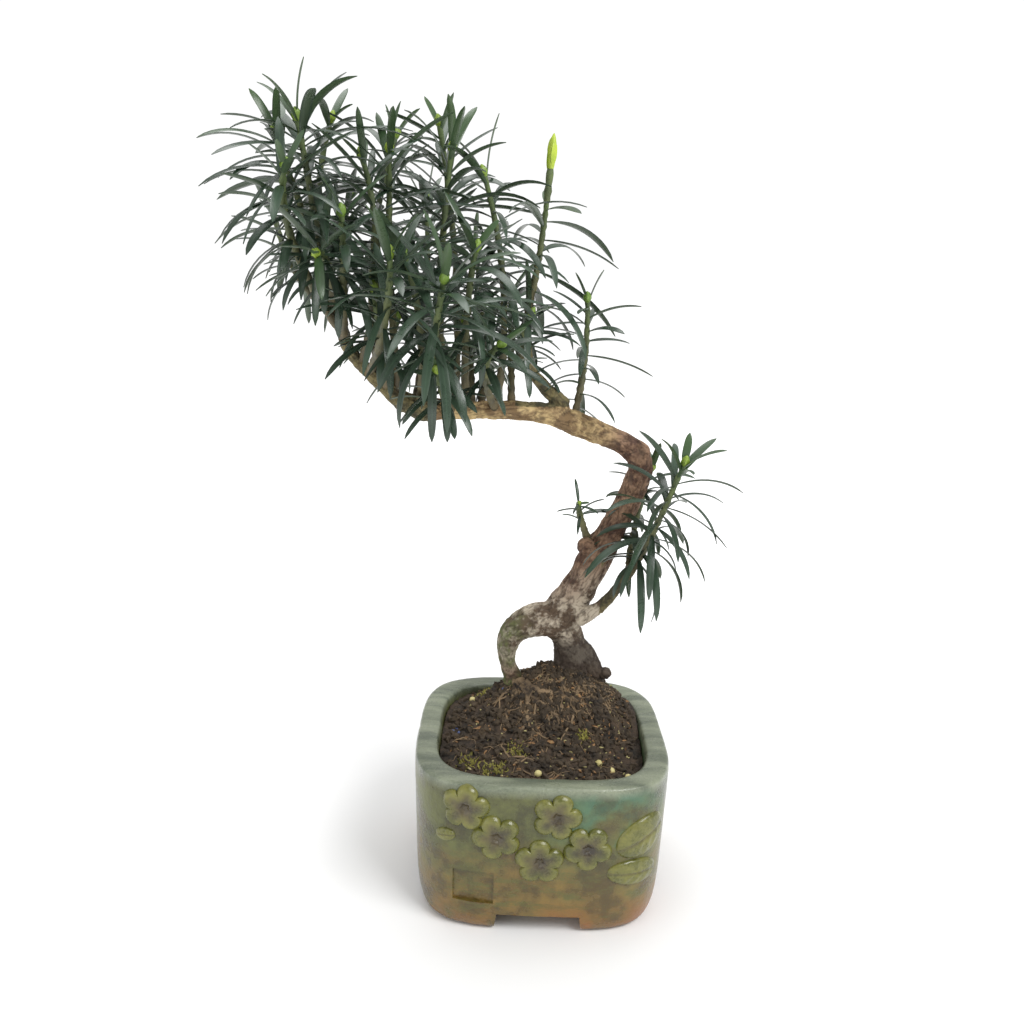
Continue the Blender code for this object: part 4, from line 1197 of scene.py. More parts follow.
def make_pot_finish():
    """Hand-brushed glaze: green with a teal patch above, tan below, rust at the foot, a grey-green rim."""
    finish = Finish("pot_glaze")
    patch = finish.mottle(patches=24.0, speckle=90.0, low=0.38, high=0.62)
    small = finish.mottle(patches=48.0, speckle=160.0, low=0.42, high=0.58)
    level = finish.stretched(STREAK_STRETCH)
    streak = finish.mottle(patches=60.0, speckle=500.0, low=0.4, high=0.6, place=level)
    across = finish.stretched(BRUSH_STRETCH)
    brushed = finish.mottle(patches=30.0, speckle=900.0, low=0.4, high=0.6, place=across)
    up = finish.axes["Z"]
    height = finish.math("ADD", up, finish.range(patch, 0.0, 1.0, -GLAZE_WANDER, GLAZE_WANDER))
    tan = finish.over(small, *GLAZE_TAN)
    tan = finish.over(finish.range(streak, 0.5, 1.0, 0.0, 0.8), tan, GLAZE_STREAK)
    wall = finish.over(finish.range(height, *GREEN_HEIGHTS), tan, finish.over(small, *GLAZE_GREEN))
    side = finish.math("ABSOLUTE", finish.math("SUBTRACT", finish.axes["X"], TEAL_MIDDLE), 0.0)
    near = finish.range(side, *TEAL_REACH, 1.0, 0.0)
    teal = finish.math("MULTIPLY", near, finish.range(height, *TEAL_HEIGHTS))
    wall = finish.over(teal, wall, finish.over(small, *GLAZE_TEAL))
    low = finish.range(up, *RUST_HEIGHTS, 1.0, 0.0)
    wall = finish.over(finish.math("MULTIPLY", low, finish.range(patch, 0.2, 0.9)), wall, GLAZE_RUST)
    rim = finish.over(brushed, *GLAZE_RIM)
    finish.colour(finish.over(finish.range(up, *RIM_HEIGHTS), wall, rim))
    finish.rough(small, low=0.2, high=0.42)
    finish.bump(fine=420.0, coarse=90.0, distance=0.0012, strength=0.9)
    finish.coat()
    return finish.material


def make_petal_finish():
    """Glaze on the applied flowers and leaves: yellow-green where it is raised, brown where it pools."""
    finish = Finish("petal_glaze")
    small = finish.mottle(patches=90.0, speckle=700.0, low=0.4, high=0.6)
    clean = finish.range(finish.attribute("rise"), 0.1, 0.9)
    finish.colour(finish.over(clean, finish.over(small, *PETAL_POOLED), finish.over(small, *PETAL_RAISED)))
    finish.rough(small, low=0.2, high=0.4)
    finish.bump(fine=500.0, coarse=140.0, distance=0.0006, strength=0.8)
    finish.coat()
    return finish.material


def make_plain_finish(name, tones, roughness, distance=0.0006):
    """A rough natural finish from a dark tone to a light one."""
    finish = Finish(name)
    tone = finish.mottle(patches=130.0, speckle=900.0, low=0.38, high=0.62)
    tint = finish.range(finish.attribute("tint"), 0.0, 1.0, 0.0, 0.6)
    finish.colour(finish.over(tint, finish.over(tone, *tones), tones[1]))
    finish.rough(tone, low=roughness - 0.1, high=roughness)
    finish.bump(fine=1300.0, coarse=350.0, distance=distance)
    return finish.material


# Pot


def rounded_profile(profile):
    """Cuts the corners of a closed profile, round after round."""
    for _ in range(POT_ROUNDINGS):
        rounded = []
        for (a, b), (c, d) in zip(profile, profile[1:] + profile[:1]):
            rounded += [(mix(a, c, share), mix(b, d, share)) for share in (0.25, 0.75)]
        profile = rounded
    return profile


def turned(name, profile, closed, steps):
    """A profile in millimetres turned round the upright axis and pushed out to the pot's plan."""
    count = len(profile)
    mesh = bpy.data.meshes.new(name)
    edges = [(i, (i + 1) % count) for i in range(count if closed else count - 1)]
    mesh.from_pydata([(radius * MM, 0.0, height * MM) for radius, height in profile], edges, [])
    obj = linked(name, mesh)
    turn = obj.modifiers.new("turn", "SCREW")
    turn.steps = steps
    turn.render_steps = steps
    turn.use_merge_vertices = True
    turn.merge_threshold = TURN_WELD
    apply_modifiers(obj)
    for vert in obj.data.vertices:
        x, y = squared(vert.co.x / MM, vert.co.y / MM)
        vert.co.x = x * MM
        vert.co.y = y * MM
    face_outwards(obj)
    return obj


def cube_cutter(name, corner):
    """A cube whose corners are moved by a rule from shares of -1 to 1 to places in millimetres."""
    deselect()
    bpy.ops.mesh.primitive_cube_add(size=2.0)
    cutter = bpy.context.object
    cutter.name = name
    for vert in cutter.data.vertices:
        vert.co = corner(*vert.co) * MM
    face_outwards(cutter)
    return cutter


def cut(obj, cutters):
    """Cuts solids out of an object and removes them."""
    for cutter in cutters:
        modifier = obj.modifiers.new("cut", "BOOLEAN")
        modifier.operation = "DIFFERENCE"
        modifier.solver = "EXACT"
        modifier.object = cutter
    apply_modifiers(obj)
    for cutter in cutters:
        bpy.data.objects.remove(cutter)


def notch_corner(quarter):
    """The rule for a cutter that opens the gap between two feet."""
    turn = Matrix.Rotation(quarter * math.pi / 2.0, 3, "Z")

    def corner(x, y, z):
        width = (FOOT_NOTCH_TOP if z > 0.0 else FOOT_NOTCH_BOTTOM) / 2.0
        return turn @ Vector((x * width, FOOT_NOTCH_MIDDLE + y * FOOT_NOTCH_REACH, z * FOOT_RISE))

    return corner


def stamp_corner(x, y, z):
    """The rule for the stamped square's cutter, which follows the wall."""
    way = STAMP_PLACE[0] + x * STAMP_SIZE[0] / 2.0
    height = STAMP_PLACE[1] + z * STAMP_SIZE[1] / 2.0
    return wall_place(way, height, -STAMP_DEPTH if y > 0.0 else STAMP_CLEAR)


def mark_by_hand(pot):
    """Presses the walls in here and there, as hands leave them."""
    for vert in pot.data.vertices:
        place = vert.co / MM
        if place.z > HAND_ABOVE and place.xy.length > HAND_OUTSIDE:
            depth = sum(deep * noise.noise(place * scale) for deep, scale in HAND_MARKS)
            out = Vector((vert.co.x, vert.co.y, 0.0)).normalized()
            vert.co -= out * (abs(depth) * MM)


def make_pot(finish):
    """The pot's shell: rounded rim, hand-formed walls, four corner feet and the bare stamped square."""
    pot = turned("pot_shell", rounded_profile(list(POT_OUTSIDE + POT_INSIDE)), True, POT_STEPS)
    cutters = [cube_cutter(f"notch_{quarter}", notch_corner(quarter)) for quarter in range(4)]
    cutters.append(cube_cutter("stamp", stamp_corner))
    cut(pot, cutters)
    mark_by_hand(pot)
    finish_piece(pot, finish, ["pot"], SMOOTH_POT)


def ring_faces(start, rings, sides):
    """Faces between rings of points, each ring closed."""
    faces = []
    for near in range(start, start + (rings - 1) * sides, sides):
        for side in range(sides):
            after = (side + 1) % sides
            faces.append((near + side, near + after, near + sides + after, near + sides + side))
    return faces


def relief_patch(place, outline, height, clean_glaze, rings, spokes):
    """An ornament's domed patch, its edge sunk into the wall: points, faces, and how clean its glaze is."""
    way, up, turn = place
    cosine = math.cos(math.radians(turn))
    sine = math.sin(math.radians(turn))
    points = []
    clean = []
    for ring in range(rings + 2):
        share = min(ring / rings, 1.0)
        for spoke in range(spokes):
            angle = 2.0 * math.pi * spoke / spokes
            reach = outline(angle) * share
            x = reach * math.cos(angle)
            y = reach * math.sin(angle)
            lift = ORNAMENT_ROOT if ring > rings else height(x, y, share)
            points.append(wall_place(way + x * cosine - y * sine, up + x * sine + y * cosine, lift))
            clean.append(clean_glaze(x, y))
    points.append(wall_place(way, up, ORNAMENT_ROOT))
    clean.append(1.0)
    last = (rings + 1) * spokes
    faces = ring_faces(0, rings + 2, spokes)
    faces += [(last + (spoke + 1) % spokes, len(points) - 1, last + spoke) for spoke in range(spokes)]
    return points, faces, clean


def petal_spots():
    """The middles of a flower's petals."""
    turns = [petal * 2.0 * math.pi / PETAL_COUNT for petal in range(PETAL_COUNT)]
    return [(PETAL_OFFSET * math.cos(turn), PETAL_OFFSET * math.sin(turn)) for turn in turns]


def flower_outline(angle):
    """How far a flower reaches at an angle."""
    lobe = abs(math.cos(angle * PETAL_COUNT / 2.0))
    return mix(FLOWER_NOTCH, FLOWER_REACH, lobe**FLOWER_LOBES)


def flower_height(x, y, share):
    """A flower's height over the wall: cupped petals round a sunken heart with a small boss."""
    best = 0.0
    for px, py in petal_spots():
        away = math.hypot(x - px, y - py) / PETAL_RADIUS
        cup = 1.0 - PETAL_CUP[0] * bell(away, PETAL_CUP[1])
        best = max(best, math.sqrt(max(0.0, 1.0 - away**PETAL_DOME)) * cup)
    centre = math.hypot(x, y)
    heart = HEART_DEPTH * bell(centre, HEART_REACH) - BOSS_RISE * bell(centre, BOSS_REACH)
    edge = min(1.0, (1.0 - share) * FLOWER_EDGE) ** 0.5
    return max(0.0, PETAL_RISE * best - heart) * edge + ORNAMENT_EDGE


def flower_glaze(x, y):
    """The glaze pools brown in a flower's heart and in the hollow of each petal."""
    pooled = HEART_POOL[0] * bell(math.hypot(x, y), HEART_POOL[1])
    for px, py in petal_spots():
        pooled += PETAL_POOL[0] * bell(math.hypot(x - px, y - py), PETAL_POOL[1])
    return max(0.0, 1.0 - pooled)


def leaf_ornament(size):
    """The outline, height and glaze of an applied leaf of half length, half width and rise."""
    length, width, rise = size
    rib_depth, rib_reach = POT_LEAF_RIB
    vein_depth, vein_gap, vein_slant = POT_LEAF_VEINS

    def outline(angle):
        return 1.0 / math.sqrt((math.cos(angle) / length) ** 2 + (math.sin(angle) / width) ** 2)

    def height(x, y, share):
        rib = bell(y, rib_reach * width)
        veins = 0.5 + 0.5 * math.cos((abs(y) * vein_slant + x) * 2.0 * math.pi / (vein_gap * length))
        dome = rise * math.sqrt(max(0.0, 1.0 - share**POT_LEAF_DOME))
        return dome * (1.0 - rib_depth * rib - vein_depth * veins * (1.0 - rib)) + ORNAMENT_EDGE

    def glaze(_, y):
        return 1.0 - POT_LEAF_POOL[0] * bell(y, POT_LEAF_POOL[1] * width)

    return outline, height, glaze


def make_ornaments(finish):
    """The applied flowers and leaves, each in place of its solid."""
    jobs = []
    flower = (flower_outline, flower_height, flower_glaze)
    for index, place in enumerate(FLOWER_PLACES, 1):
        jobs.append((f"pot_flower_{index}", place, *flower, *FLOWER_MESH))
    for index, (place, size) in enumerate(zip(POT_LEAF_PLACES, POT_LEAF_SIZES), 1):
        jobs.append((f"pot_leaf_{index}", place, *leaf_ornament(size), *POT_LEAF_MESH))
    for node, *job in jobs:
        points, faces, clean = relief_patch(*job)
        piece = mesh_piece(node + "_glazed", points, faces)
        set_attribute(piece, "rise", clean)
        face_outwards(piece)
        finish_piece(piece, finish, [node], SMOOTH_BITS)


# Soil


def soil_top(x, y):
    """The soil's surface with its crumbs."""
    place = Vector((x, y, 0.0))
    return soil_height(x, y) + sum(rise * noise.noise(place * scale) for rise, scale in SOIL_CRUMBS)


def in_pot(x, y, margin):
    """Whether a place lies inside the pot's inner wall by a margin."""
    half = POT_MOUTH - margin
    return (abs(x) / half) ** POT_SQUARENESS + (abs(y) / half) ** POT_SQUARENESS < 1.0


def make_soil():
    """The bed of soil, crumbly over its low swell and its steep heap."""
    surface = [(SOIL_EDGE * (ring / SOIL_RINGS), SOIL_LEVEL) for ring in range(SOIL_RINGS + 1)]
    bed = turned("soil_bed", surface + list(SOIL_SIDE), False, SOIL_STEPS)
    for vert in bed.data.vertices:
        if vert.co.z > (SOIL_LEVEL - 1.0) * MM:
            vert.co.z = soil_top(vert.co.x / MM, vert.co.y / MM) * MM
    set_attribute(bed, "tint", [0.0] * len(bed.data.vertices))
    finish = make_plain_finish("soil", SOIL_TONES, roughness=0.95, distance=0.0012)
    finish_piece(bed, finish, ["soil"], SMOOTH_THREADS)


def scatter(draw, count, margin, heap_share):
    """Places inside the pot, with a share of them on the heap."""
    places = []
    while len(places) < count:
        if draw.random() < heap_share:
            x = draw.gauss(HEAP_CENTRE[0], HEAP_SCATTER[0])
            y = draw.gauss(HEAP_CENTRE[1] - HEAP_FRONT, HEAP_SCATTER[1])
        else:
            x = draw.uniform(-POT_MOUTH, POT_MOUTH)
            y = draw.uniform(-POT_MOUTH, POT_MOUTH)
        if in_pot(x, y, margin):
            places.append((x, y))
    return places


def lump_template(level):
    """A rounded lump of size one, as points and faces."""
    deselect()
    bpy.ops.mesh.primitive_ico_sphere_add(subdivisions=level, radius=1.0)
    ball = bpy.context.object
    points = [vert.co.copy() for vert in ball.data.vertices]
    faces = [tuple(face.vertices) for face in ball.data.polygons]
    bpy.data.objects.remove(ball)
    return points, faces


def random_turn(draw):
    """A turn about any axis."""
    axis = Vector([draw.gauss(0.0, 1.0) for _ in range(3)]).normalized()
    return Matrix.Rotation(draw.uniform(0.0, math.pi), 3, axis)


def dress_piece(name, finish, points, faces, tints, smooth):
    """A piece that lies on the soil's solid and stands for no node."""
    piece = mesh_piece(name, points, faces)
    set_attribute(piece, "tint", tints)
    finish_piece(piece, finish, [], smooth)


def strew(name, finish, draw, places, litter):
    """Copies of a lump strewn over the soil: each sized, crumpled and turned on its own."""
    base, base_faces = lump_template(litter.level)
    points = []
    faces = []
    tints = []
    for x, y in places:
        size = Vector([draw.uniform(low, high) for low, high in litter.sizes])
        turn = random_turn(draw)
        seed = Vector([draw.uniform(0.0, LUMP_SHIFT) for _ in range(3)])
        start = len(points)
        centre = Vector((x, y, soil_top(x, y) + size.z * litter.rise))
        for point in base:
            bent = point * (1.0 + litter.crumple * noise.noise(point * LUMP_SCALE + seed))
            points.append(centre + turn @ (bent * size))
        faces += [tuple(start + index for index in face) for face in base_faces]
        tints += [draw.random()] * len(base)
    dress_piece(name, finish, points, faces, tints, SMOOTH_BITS)


def add_tube(points, faces, route, sides):
    """Adds a tube along a route of places and radii, closed by a point at both ends. Returns its count."""
    start = len(points)
    count = len(route)
    side_way = Vector(TUBE_SIDE)
    for index, (place, radius) in enumerate(route):
        before = route[max(index - 1, 0)][0]
        after = route[min(index + 1, count - 1)][0]
        heading = (after - before).normalized()
        side_way = (side_way - heading * side_way.dot(heading)).normalized()
        other = heading.cross(side_way)
        for side in range(sides):
            angle = 2.0 * math.pi * side / sides
            out = side_way * (radius * math.cos(angle))
            points.append(place + out + other * (radius * math.sin(angle)))
    faces += ring_faces(start, count, sides)
    points.append(route[0][0].copy())
    points.append(route[-1][0].copy())
    last = start + (count - 1) * sides
    for side in range(sides):
        after = (side + 1) % sides
        faces.append((start + after, start + side, len(points) - 2))
        faces.append((last + side, last + after, len(points) - 1))
    return len(points) - start


def fibre_start(draw, on_heap):
    """Where a fine root starts and which way it heads: down the heap, or any way elsewhere."""
    if not on_heap:
        x, y = scatter(draw, 1, FIBRE_MARGINS[0], 0.0)[0]
        return x, y, draw.uniform(0.0, 2.0 * math.pi)
    angle = draw.uniform(0.0, 2.0 * math.pi)
    away = draw.uniform(*DOWNHILL_RUN)
    x = HEAP_CENTRE[0] + away * math.cos(angle) * DOWNHILL_WIDTH
    y = HEAP_CENTRE[1] - DOWNHILL_FRONT + away * math.sin(angle)
    downhill = math.atan2(y - HEAP_CENTRE[1], x - HEAP_CENTRE[0])
    return x, y, downhill + draw.uniform(-DOWNHILL_STRAY, DOWNHILL_STRAY)


def fibre_route(draw, x, y, heading):
    """A fine root's wandering route, low over the soil, cut off at the pot's wall."""
    radius = draw.choice(FIBRE_RADII) * draw.uniform(*FIBRE_GIRTH_PLAY)
    lift = draw.uniform(*FIBRE_ARCH)
    steps = draw.choice(FIBRE_STEPS)
    route = []
    for step in range(steps):
        if not in_pot(x, y, FIBRE_MARGINS[1]):
            break
        arch = lift * math.sin(math.pi * step / (steps - 1))
        place = Vector((x, y, soil_top(x, y) + radius * FIBRE_SINK + arch))
        route.append((place, radius * (1.0 - FIBRE_TAPER * step / steps)))
        heading += draw.uniform(-FIBRE_WANDER, FIBRE_WANDER)
        x += FIBRE_STRIDE * math.cos(heading)
        y += FIBRE_STRIDE * math.sin(heading)
    return route


def surface_root_route(draw, degrees, radius, steps):
    """A thicker root that runs down the heap from the left root's foot."""
    heading = math.radians(degrees)
    x, y = SURFACE_ROOT_START
    route = []
    for step in range(steps):
        thick = radius * (1.0 - SURFACE_ROOT_TAPER * step / steps) * draw.uniform(*SURFACE_ROOT_GIRTH_PLAY)
        route.append((Vector((x, y, soil_top(x, y) + thick * SURFACE_ROOT_SINK)), thick))
        heading += draw.uniform(-SURFACE_ROOT_WANDER, SURFACE_ROOT_WANDER)
        x += SURFACE_ROOT_STRIDE * math.cos(heading)
        y += SURFACE_ROOT_STRIDE * math.sin(heading)
    return route


def make_fine_roots(finish, draw):
    """Fine roots that creep over the soil, most of them down the heap, and a few thicker ones."""
    points = []
    faces = []
    tints = []
    for index in range(FIBRE_COUNT):
        on_heap = index < FIBRE_COUNT * FIBRE_HEAP_SHARE
        route = fibre_route(draw, *fibre_start(draw, on_heap))
        if len(route) > FIBRE_LEAST:
            added = add_tube(points, faces, route, FIBRE_SIDES)
            tints += [draw.random()] * added
    for root in SURFACE_ROOTS:
        tints += [0.0] * add_tube(points, faces, surface_root_route(draw, *root), SURFACE_ROOT_SIDES)
    dress_piece("soil_roots", finish, points, faces, tints, SMOOTH_THREADS)


def make_moss(finish, draw):
    """Tufts of moss: many short tapering threads."""
    points = []
    faces = []
    tints = []
    for cx, cy, spread in MOSS_PLACES:
        for _ in range(int(spread * MOSS_DENSITY)):
            x = draw.gauss(cx, spread * MOSS_SPREAD[0])
            y = draw.gauss(cy, spread * MOSS_SPREAD[1])
            if not in_pot(x, y, MOSS_MARGIN):
                continue
            foot = Vector((x, y, soil_top(x, y) - MOSS_SINK))
            lean = Vector((draw.gauss(0.0, MOSS_LEAN), draw.gauss(0.0, MOSS_LEAN), 1.0)).normalized()
            tall = draw.uniform(*MOSS_HEIGHTS)
            route = [(foot + lean * tall * part, thick) for part, thick in zip((0.0, 0.5, 1.0), MOSS_RADII)]
            tints += [draw.random()] * add_tube(points, faces, route, MOSS_SIDES)
    dress_piece("soil_moss", finish, points, faces, tints, SMOOTH_THREADS)


def dress_soil(draw):
    """Crumbs, chips, pale flecks, blue grit and feed pellets on the soil, then fine roots and moss."""
    finish = make_plain_finish("soil_crumbs", CRUMB_TONES, roughness=0.9, distance=0.001)
    strew("soil_clods", finish, draw, scatter(draw, *CLOD_SPREAD), CLODS)
    finish = make_plain_finish("bark_chips", CHIP_TONES, roughness=0.85)
    strew("soil_chips", finish, draw, scatter(draw, *CHIP_SPREAD), CHIPS)
    finish = make_plain_finish("pale_flecks", FLECK_TONES, roughness=0.8)
    strew("soil_flecks", finish, draw, scatter(draw, *FLECK_SPREAD), FLECKS)
    finish = make_plain_finish("blue_grit", GRIT_TONES, roughness=0.5)
    strew("soil_blue_grit", finish, draw, BLUE_PLACES, GRIT)
    finish = make_plain_finish("feed_pellets", PELLET_TONES, roughness=0.6, distance=0.0002)
    strew("soil_pellets", finish, draw, PELLET_PLACES, PELLETS)
    make_fine_roots(make_plain_finish("fine_roots", ROOT_TONES, roughness=0.85, distance=0.0003), draw)
    make_moss(make_plain_finish("moss", MOSS_TONES, roughness=0.9, distance=0.0002), draw)


# Limbs


def sunk_branch(limb, share, knots):
    """A bough's route from inside the limb that it leaves."""
    start, out = seat(limb, share, Vector(knots[0][:3]))
    collar = [(start + out * away, knots[0][3] * girth) for away, girth in BOUGH_COLLAR]
    return collar + smooth_route(knots)


def limb_tube(name, route):
    """A smooth tube for a limb."""
    points = []
    faces = []
    add_tube(points, faces, route, BARK_SIDES)
    return mesh_piece(name, points, faces)


def knot_ball(index, knot):
    """A swelling on a limb."""
    deselect()
    place = Vector(knot[:3]) * MM
    bpy.ops.mesh.primitive_ico_sphere_add(subdivisions=3, radius=knot[3] * MM, location=place)
    ball = bpy.context.object
    ball.name = f"knot_{index}"
    bpy.ops.object.transform_apply(location=True, rotation=False, scale=False)
    return ball


def young_wood(place):
    """Whether the bark there is still green-brown: on the boughs, but not on the trunk."""
    x, y, z = YOUNG_LOW
    low = place.x > x and place.y < y and place.z < z
    high = place.x > YOUNG_HIGH[0] and place.z > YOUNG_HIGH[1]
    return place.x < YOUNG_LEFT or low or high


def bark_masks(place):
    """Where the bark is pale, ochre, green-brown, mossy or dark, by place along the tree."""
    wander = TONE_WANDER * noise.noise(place * TONE_WANDER_SCALE)
    pale = ramp(place.z - wander, *PALE_TOP) * ramp(place.z, *PALE_FOOT)
    ochre = ramp(place.x - wander, *OCHRE_RIGHT) * ramp(place.x, *OCHRE_LEFT)
    ochre = ochre if place.z > OCHRE_ABOVE else 0.0
    patchy = min(1.0, max(0.0, MOSS_SHARE + MOSS_PATCHES * noise.noise(place * MOSS_SCALE)))
    moss = ramp(place.x, *MOSS_LEFT) * ramp(place.z, *MOSS_TOP) * patchy
    dark = ramp(place.x + wander * DARK_WANDER, *DARK_RIGHT) * ramp(place.z, *DARK_TOP)
    return pale, ochre, float(young_wood(place)), moss, dark * DARK_FULL


def bark_rise(place, along):
    """The bark's relief at a place, with its cracks along the limb: its rise and how deep the crack is."""
    lump = noise.noise(place * BARK_LUMP_SCALE) * BARK_LUMP
    stretched = place - along * (place.dot(along) * BARK_STRETCH)
    plate = abs(noise.noise(stretched * BARK_PLATE_SCALE + Vector(BARK_PLATE_SHIFT)))
    fine = noise.fractal(stretched * BARK_FINE_SCALE, *BARK_FINE_OCTAVES)
    crack = max(0.0, 1.0 - plate * BARK_CRACK_FALL)
    plates = min(plate * BARK_PLATE_GROWTH, BARK_PLATE_TOP) - BARK_PLATE_TOP / 2.0
    return lump + BARK_PLATE * plates + BARK_FINE * fine - BARK_CRACK * crack, crack


def bark_skin(routes):
    """One smooth skin over the limbs and their knots, flowing together where they meet."""
    solids = [limb_tube(name, route) for name, route in routes.items()]
    solids += [knot_ball(index, knot) for index, knot in enumerate(KNOTS)]
    deselect()
    for solid in solids:
        solid.select_set(True)
    bpy.context.view_layer.objects.active = solids[0]
    bpy.ops.object.join()
    bark = bpy.context.object
    bark.name = "tree_bark"
    remesh = bark.modifiers.new("skin", "REMESH")
    remesh.mode = "VOXEL"
    remesh.voxel_size = BARK_VOXEL * MM
    flow = bark.modifiers.new("flow", "SMOOTH")
    flow.factor = BARK_FLOW
    flow.iterations = BARK_FLOW_ROUNDS
    apply_modifiers(bark)
    return bark


def make_bark(finish):
    """Trunk, roots and boughs as one skin of bark, with its relief modelled."""
    routes = {
        "lower": smooth_route(TRUNK_LOWER),
        "root_left": smooth_route(ROOT_LEFT),
        "root_right": smooth_route(ROOT_RIGHT),
        "root_middle": smooth_route(ROOT_MIDDLE),
        "upper": smooth_route(TRUNK_UPPER),
        "left": smooth_route(BOUGH_LEFT),
        "candle": sunk_branch(ROUTES["trunk_upper"], BOUGH_CANDLE_SHARE, BOUGH_CANDLE),
        "right": sunk_branch(ROUTES["trunk_lower"], BOUGH_RIGHT_SHARE, BOUGH_RIGHT),
    }
    bark = bark_skin(routes)
    rows = []
    for route in routes.values():
        rows += [(place, after - place) for (place, _), (after, _) in zip(route, route[1:])]
    centres = np.array([tuple(place) for place, _ in rows])
    normals = [vert.normal.copy() for vert in bark.data.vertices]
    masks = []
    for vert, normal in zip(bark.data.vertices, normals):
        place = vert.co / MM
        middle, along = rows[int(((centres - np.array(place)) ** 2).sum(axis=1).argmin())]
        rise, crack = bark_rise(place, along.normalized())
        slim = min(1.0, BARK_SLIM + (place - middle).length / BARK_SLIM_REACH)
        vert.co = (place + normal * rise * slim) * MM
        masks.append((*bark_masks(place), crack))
    # The last mask, deep, is the crack mask, which paints shade into the bark's cracks
    for index, name in enumerate(("pale", "ochre", "shoot", "moss", "dark", "deep")):
        set_attribute(bark, name, [row[index] for row in masks])
    nodes = ["trunk_lower", "trunk_upper", "bough_left", "bough_candle", "bough_right"]
    finish_piece(bark, finish, nodes, SMOOTH_BARK)


# Foliage


class Growth:
    """Leaves, stems or buds being gathered into one mesh, with the numbers that each point carries."""

    def __init__(self):
        self.points = []
        self.faces = []
        self.marks = []

    def tube(self, route, sides, young, tint=0.5):
        """Adds a tube, its youth running from one value at its start to another at its end."""
        count = add_tube(self.points, self.faces, route, sides)
        rings = len(route)
        for index in range(count):
            share = min(index // sides, rings - 1) / (rings - 1)
            self.marks.append((tint, 0.0, 0.0, mix(*young, share)))

    def leaf(self, leaf, tint, young):
        """Adds a leaf: a keeled ribbon with a groove along its rib, closed at both ends."""
        start = len(self.points)
        steps = len(leaf.line) - 1
        ring = len(LEAF_SECTION)
        for at in range(steps + 1):
            half = leaf.half * LEAF_NARROWING * read_table(LEAF_OUTLINE, at / steps)
            thick = LEAF_THICKNESS * min(1.0, LEAF_THIN_SHARE + half / leaf.half)
            for across, rise, rib in LEAF_SECTION:
                place = leaf.line[at] + leaf.across[at] * (half * across) - leaf.under[at] * (rise * thick)
                self.points.append(place)
                self.marks.append((tint, rib, 1.0 if rise < 0.0 else 0.0, young))
        self.faces += [(a, d, c, b) for a, b, c, d in ring_faces(start, steps + 1, ring)]
        self.faces.append(tuple(start + side for side in range(ring)))
        last = start + steps * ring
        self.faces.append(tuple(last + side for side in range(ring))[::-1])

    def piece(self, name, finish, slot, nodes):
        """The gathered mesh as a finished piece."""
        obj = mesh_piece(name, self.points, self.faces)
        for index, title in enumerate(("tint", "rib", "under", "young")):
            set_attribute(obj, title, [mark[index] for mark in self.marks])
        finish_piece(obj, finish, nodes, SMOOTH_BITS)


def add_bud(growth, foot, heading, length, radius, scales, tint):
    """Adds a bud: a smooth plump core with a few long scales wrapped round it."""
    core = [(foot + heading * (length * rise), radius * girth) for rise, girth in BUD_OUTLINE]
    growth.tube(core, BUD_SIDES, (0.0, 0.0), tint)
    side = side_of(heading)
    for index in range(scales):
        share = index / scales
        angle = index * LEAF_TURN
        out = side * math.cos(angle) + heading.cross(side) * math.sin(angle)
        first = length * mix(*SCALE_START, share)
        reach = length * mix(*SCALE_REACH, share)
        line = []
        for step in range(SCALE_STEPS + 1):
            rise = (first + reach * step / SCALE_STEPS) / length
            girth = radius * read_table(BUD_OUTLINE, min(rise, 1.0))
            line.append(foot + heading * (length * rise) + out * (girth * SCALE_TUCK + SCALE_LIFT))
        count = len(line)
        scale = Leaf(line, [heading.cross(out)] * count, [out * -1.0] * count, radius * SCALE_WIDTH)
        growth.leaf(scale, tint, 0.0)


def stem_route(stem, draw):
    """A stem from inside its limb to its tip, ringed by the scars of old leaves."""
    route = [(stem.foot - stem.out * STEM_ROOT, STEM_FOOT_RADIUS * STEM_FLARE)]
    for step in range(STEM_STEPS + 1):
        share = step / STEM_STEPS
        scar = 1.0 + SCAR_RISE * math.sin(step * SCAR_TURN) + draw.uniform(-SCAR_PLAY, SCAR_PLAY)
        route.append((stem.place(share), mix(STEM_FOOT_RADIUS, STEM_TIP_RADIUS, share) * scar))
    return route


def clothe(shoot, stem, leaves, stems, buds):
    """Adds one shoot's leaves, stem and bud, or for the opened shoot its neck and candle."""
    draw = random.Random(shoot.seed + BUD_SEED_STEP)
    for index, leaf in enumerate(grow_leaves(shoot, stem)):
        age = index / (shoot.leaves - 1)
        fresh = max(0.0, (age - LEAF_FRESH_FROM) / (1.0 - LEAF_FRESH_FROM)) * LEAF_FRESHNESS
        leaves.leaf(leaf, draw.random(), fresh)
    stems.tube(stem_route(stem, draw), STEM_SIDES, (0.0, 1.0))
    ahead = stem.heading(1.0)
    if shoot.opened:
        whole = ahead * shoot.bud
        radii = [NECK_RADIUS - NECK_KNOBS * math.sin(part * NECK_KNOB_TURN) for part in NECK_RINGS]
        neck = [(stem.tip + whole * part, radius) for part, radius in zip(NECK_RINGS, radii)]
        stems.tube(neck, STEM_SIDES, NECK_YOUTH)
        length = shoot.bud * CANDLE_LENGTH
        foot = stem.tip + whole * CANDLE_START
        add_bud(buds, foot, ahead, length, CANDLE_RADIUS, CANDLE_SCALES, 1.0)
    else:
        foot = stem.tip - ahead * BUD_SINK
        tint = draw.uniform(0.0, BUD_TINT)
        add_bud(buds, foot, ahead, shoot.bud, shoot.bud_radius * BUD_GIRTH, BUD_SCALES, tint)


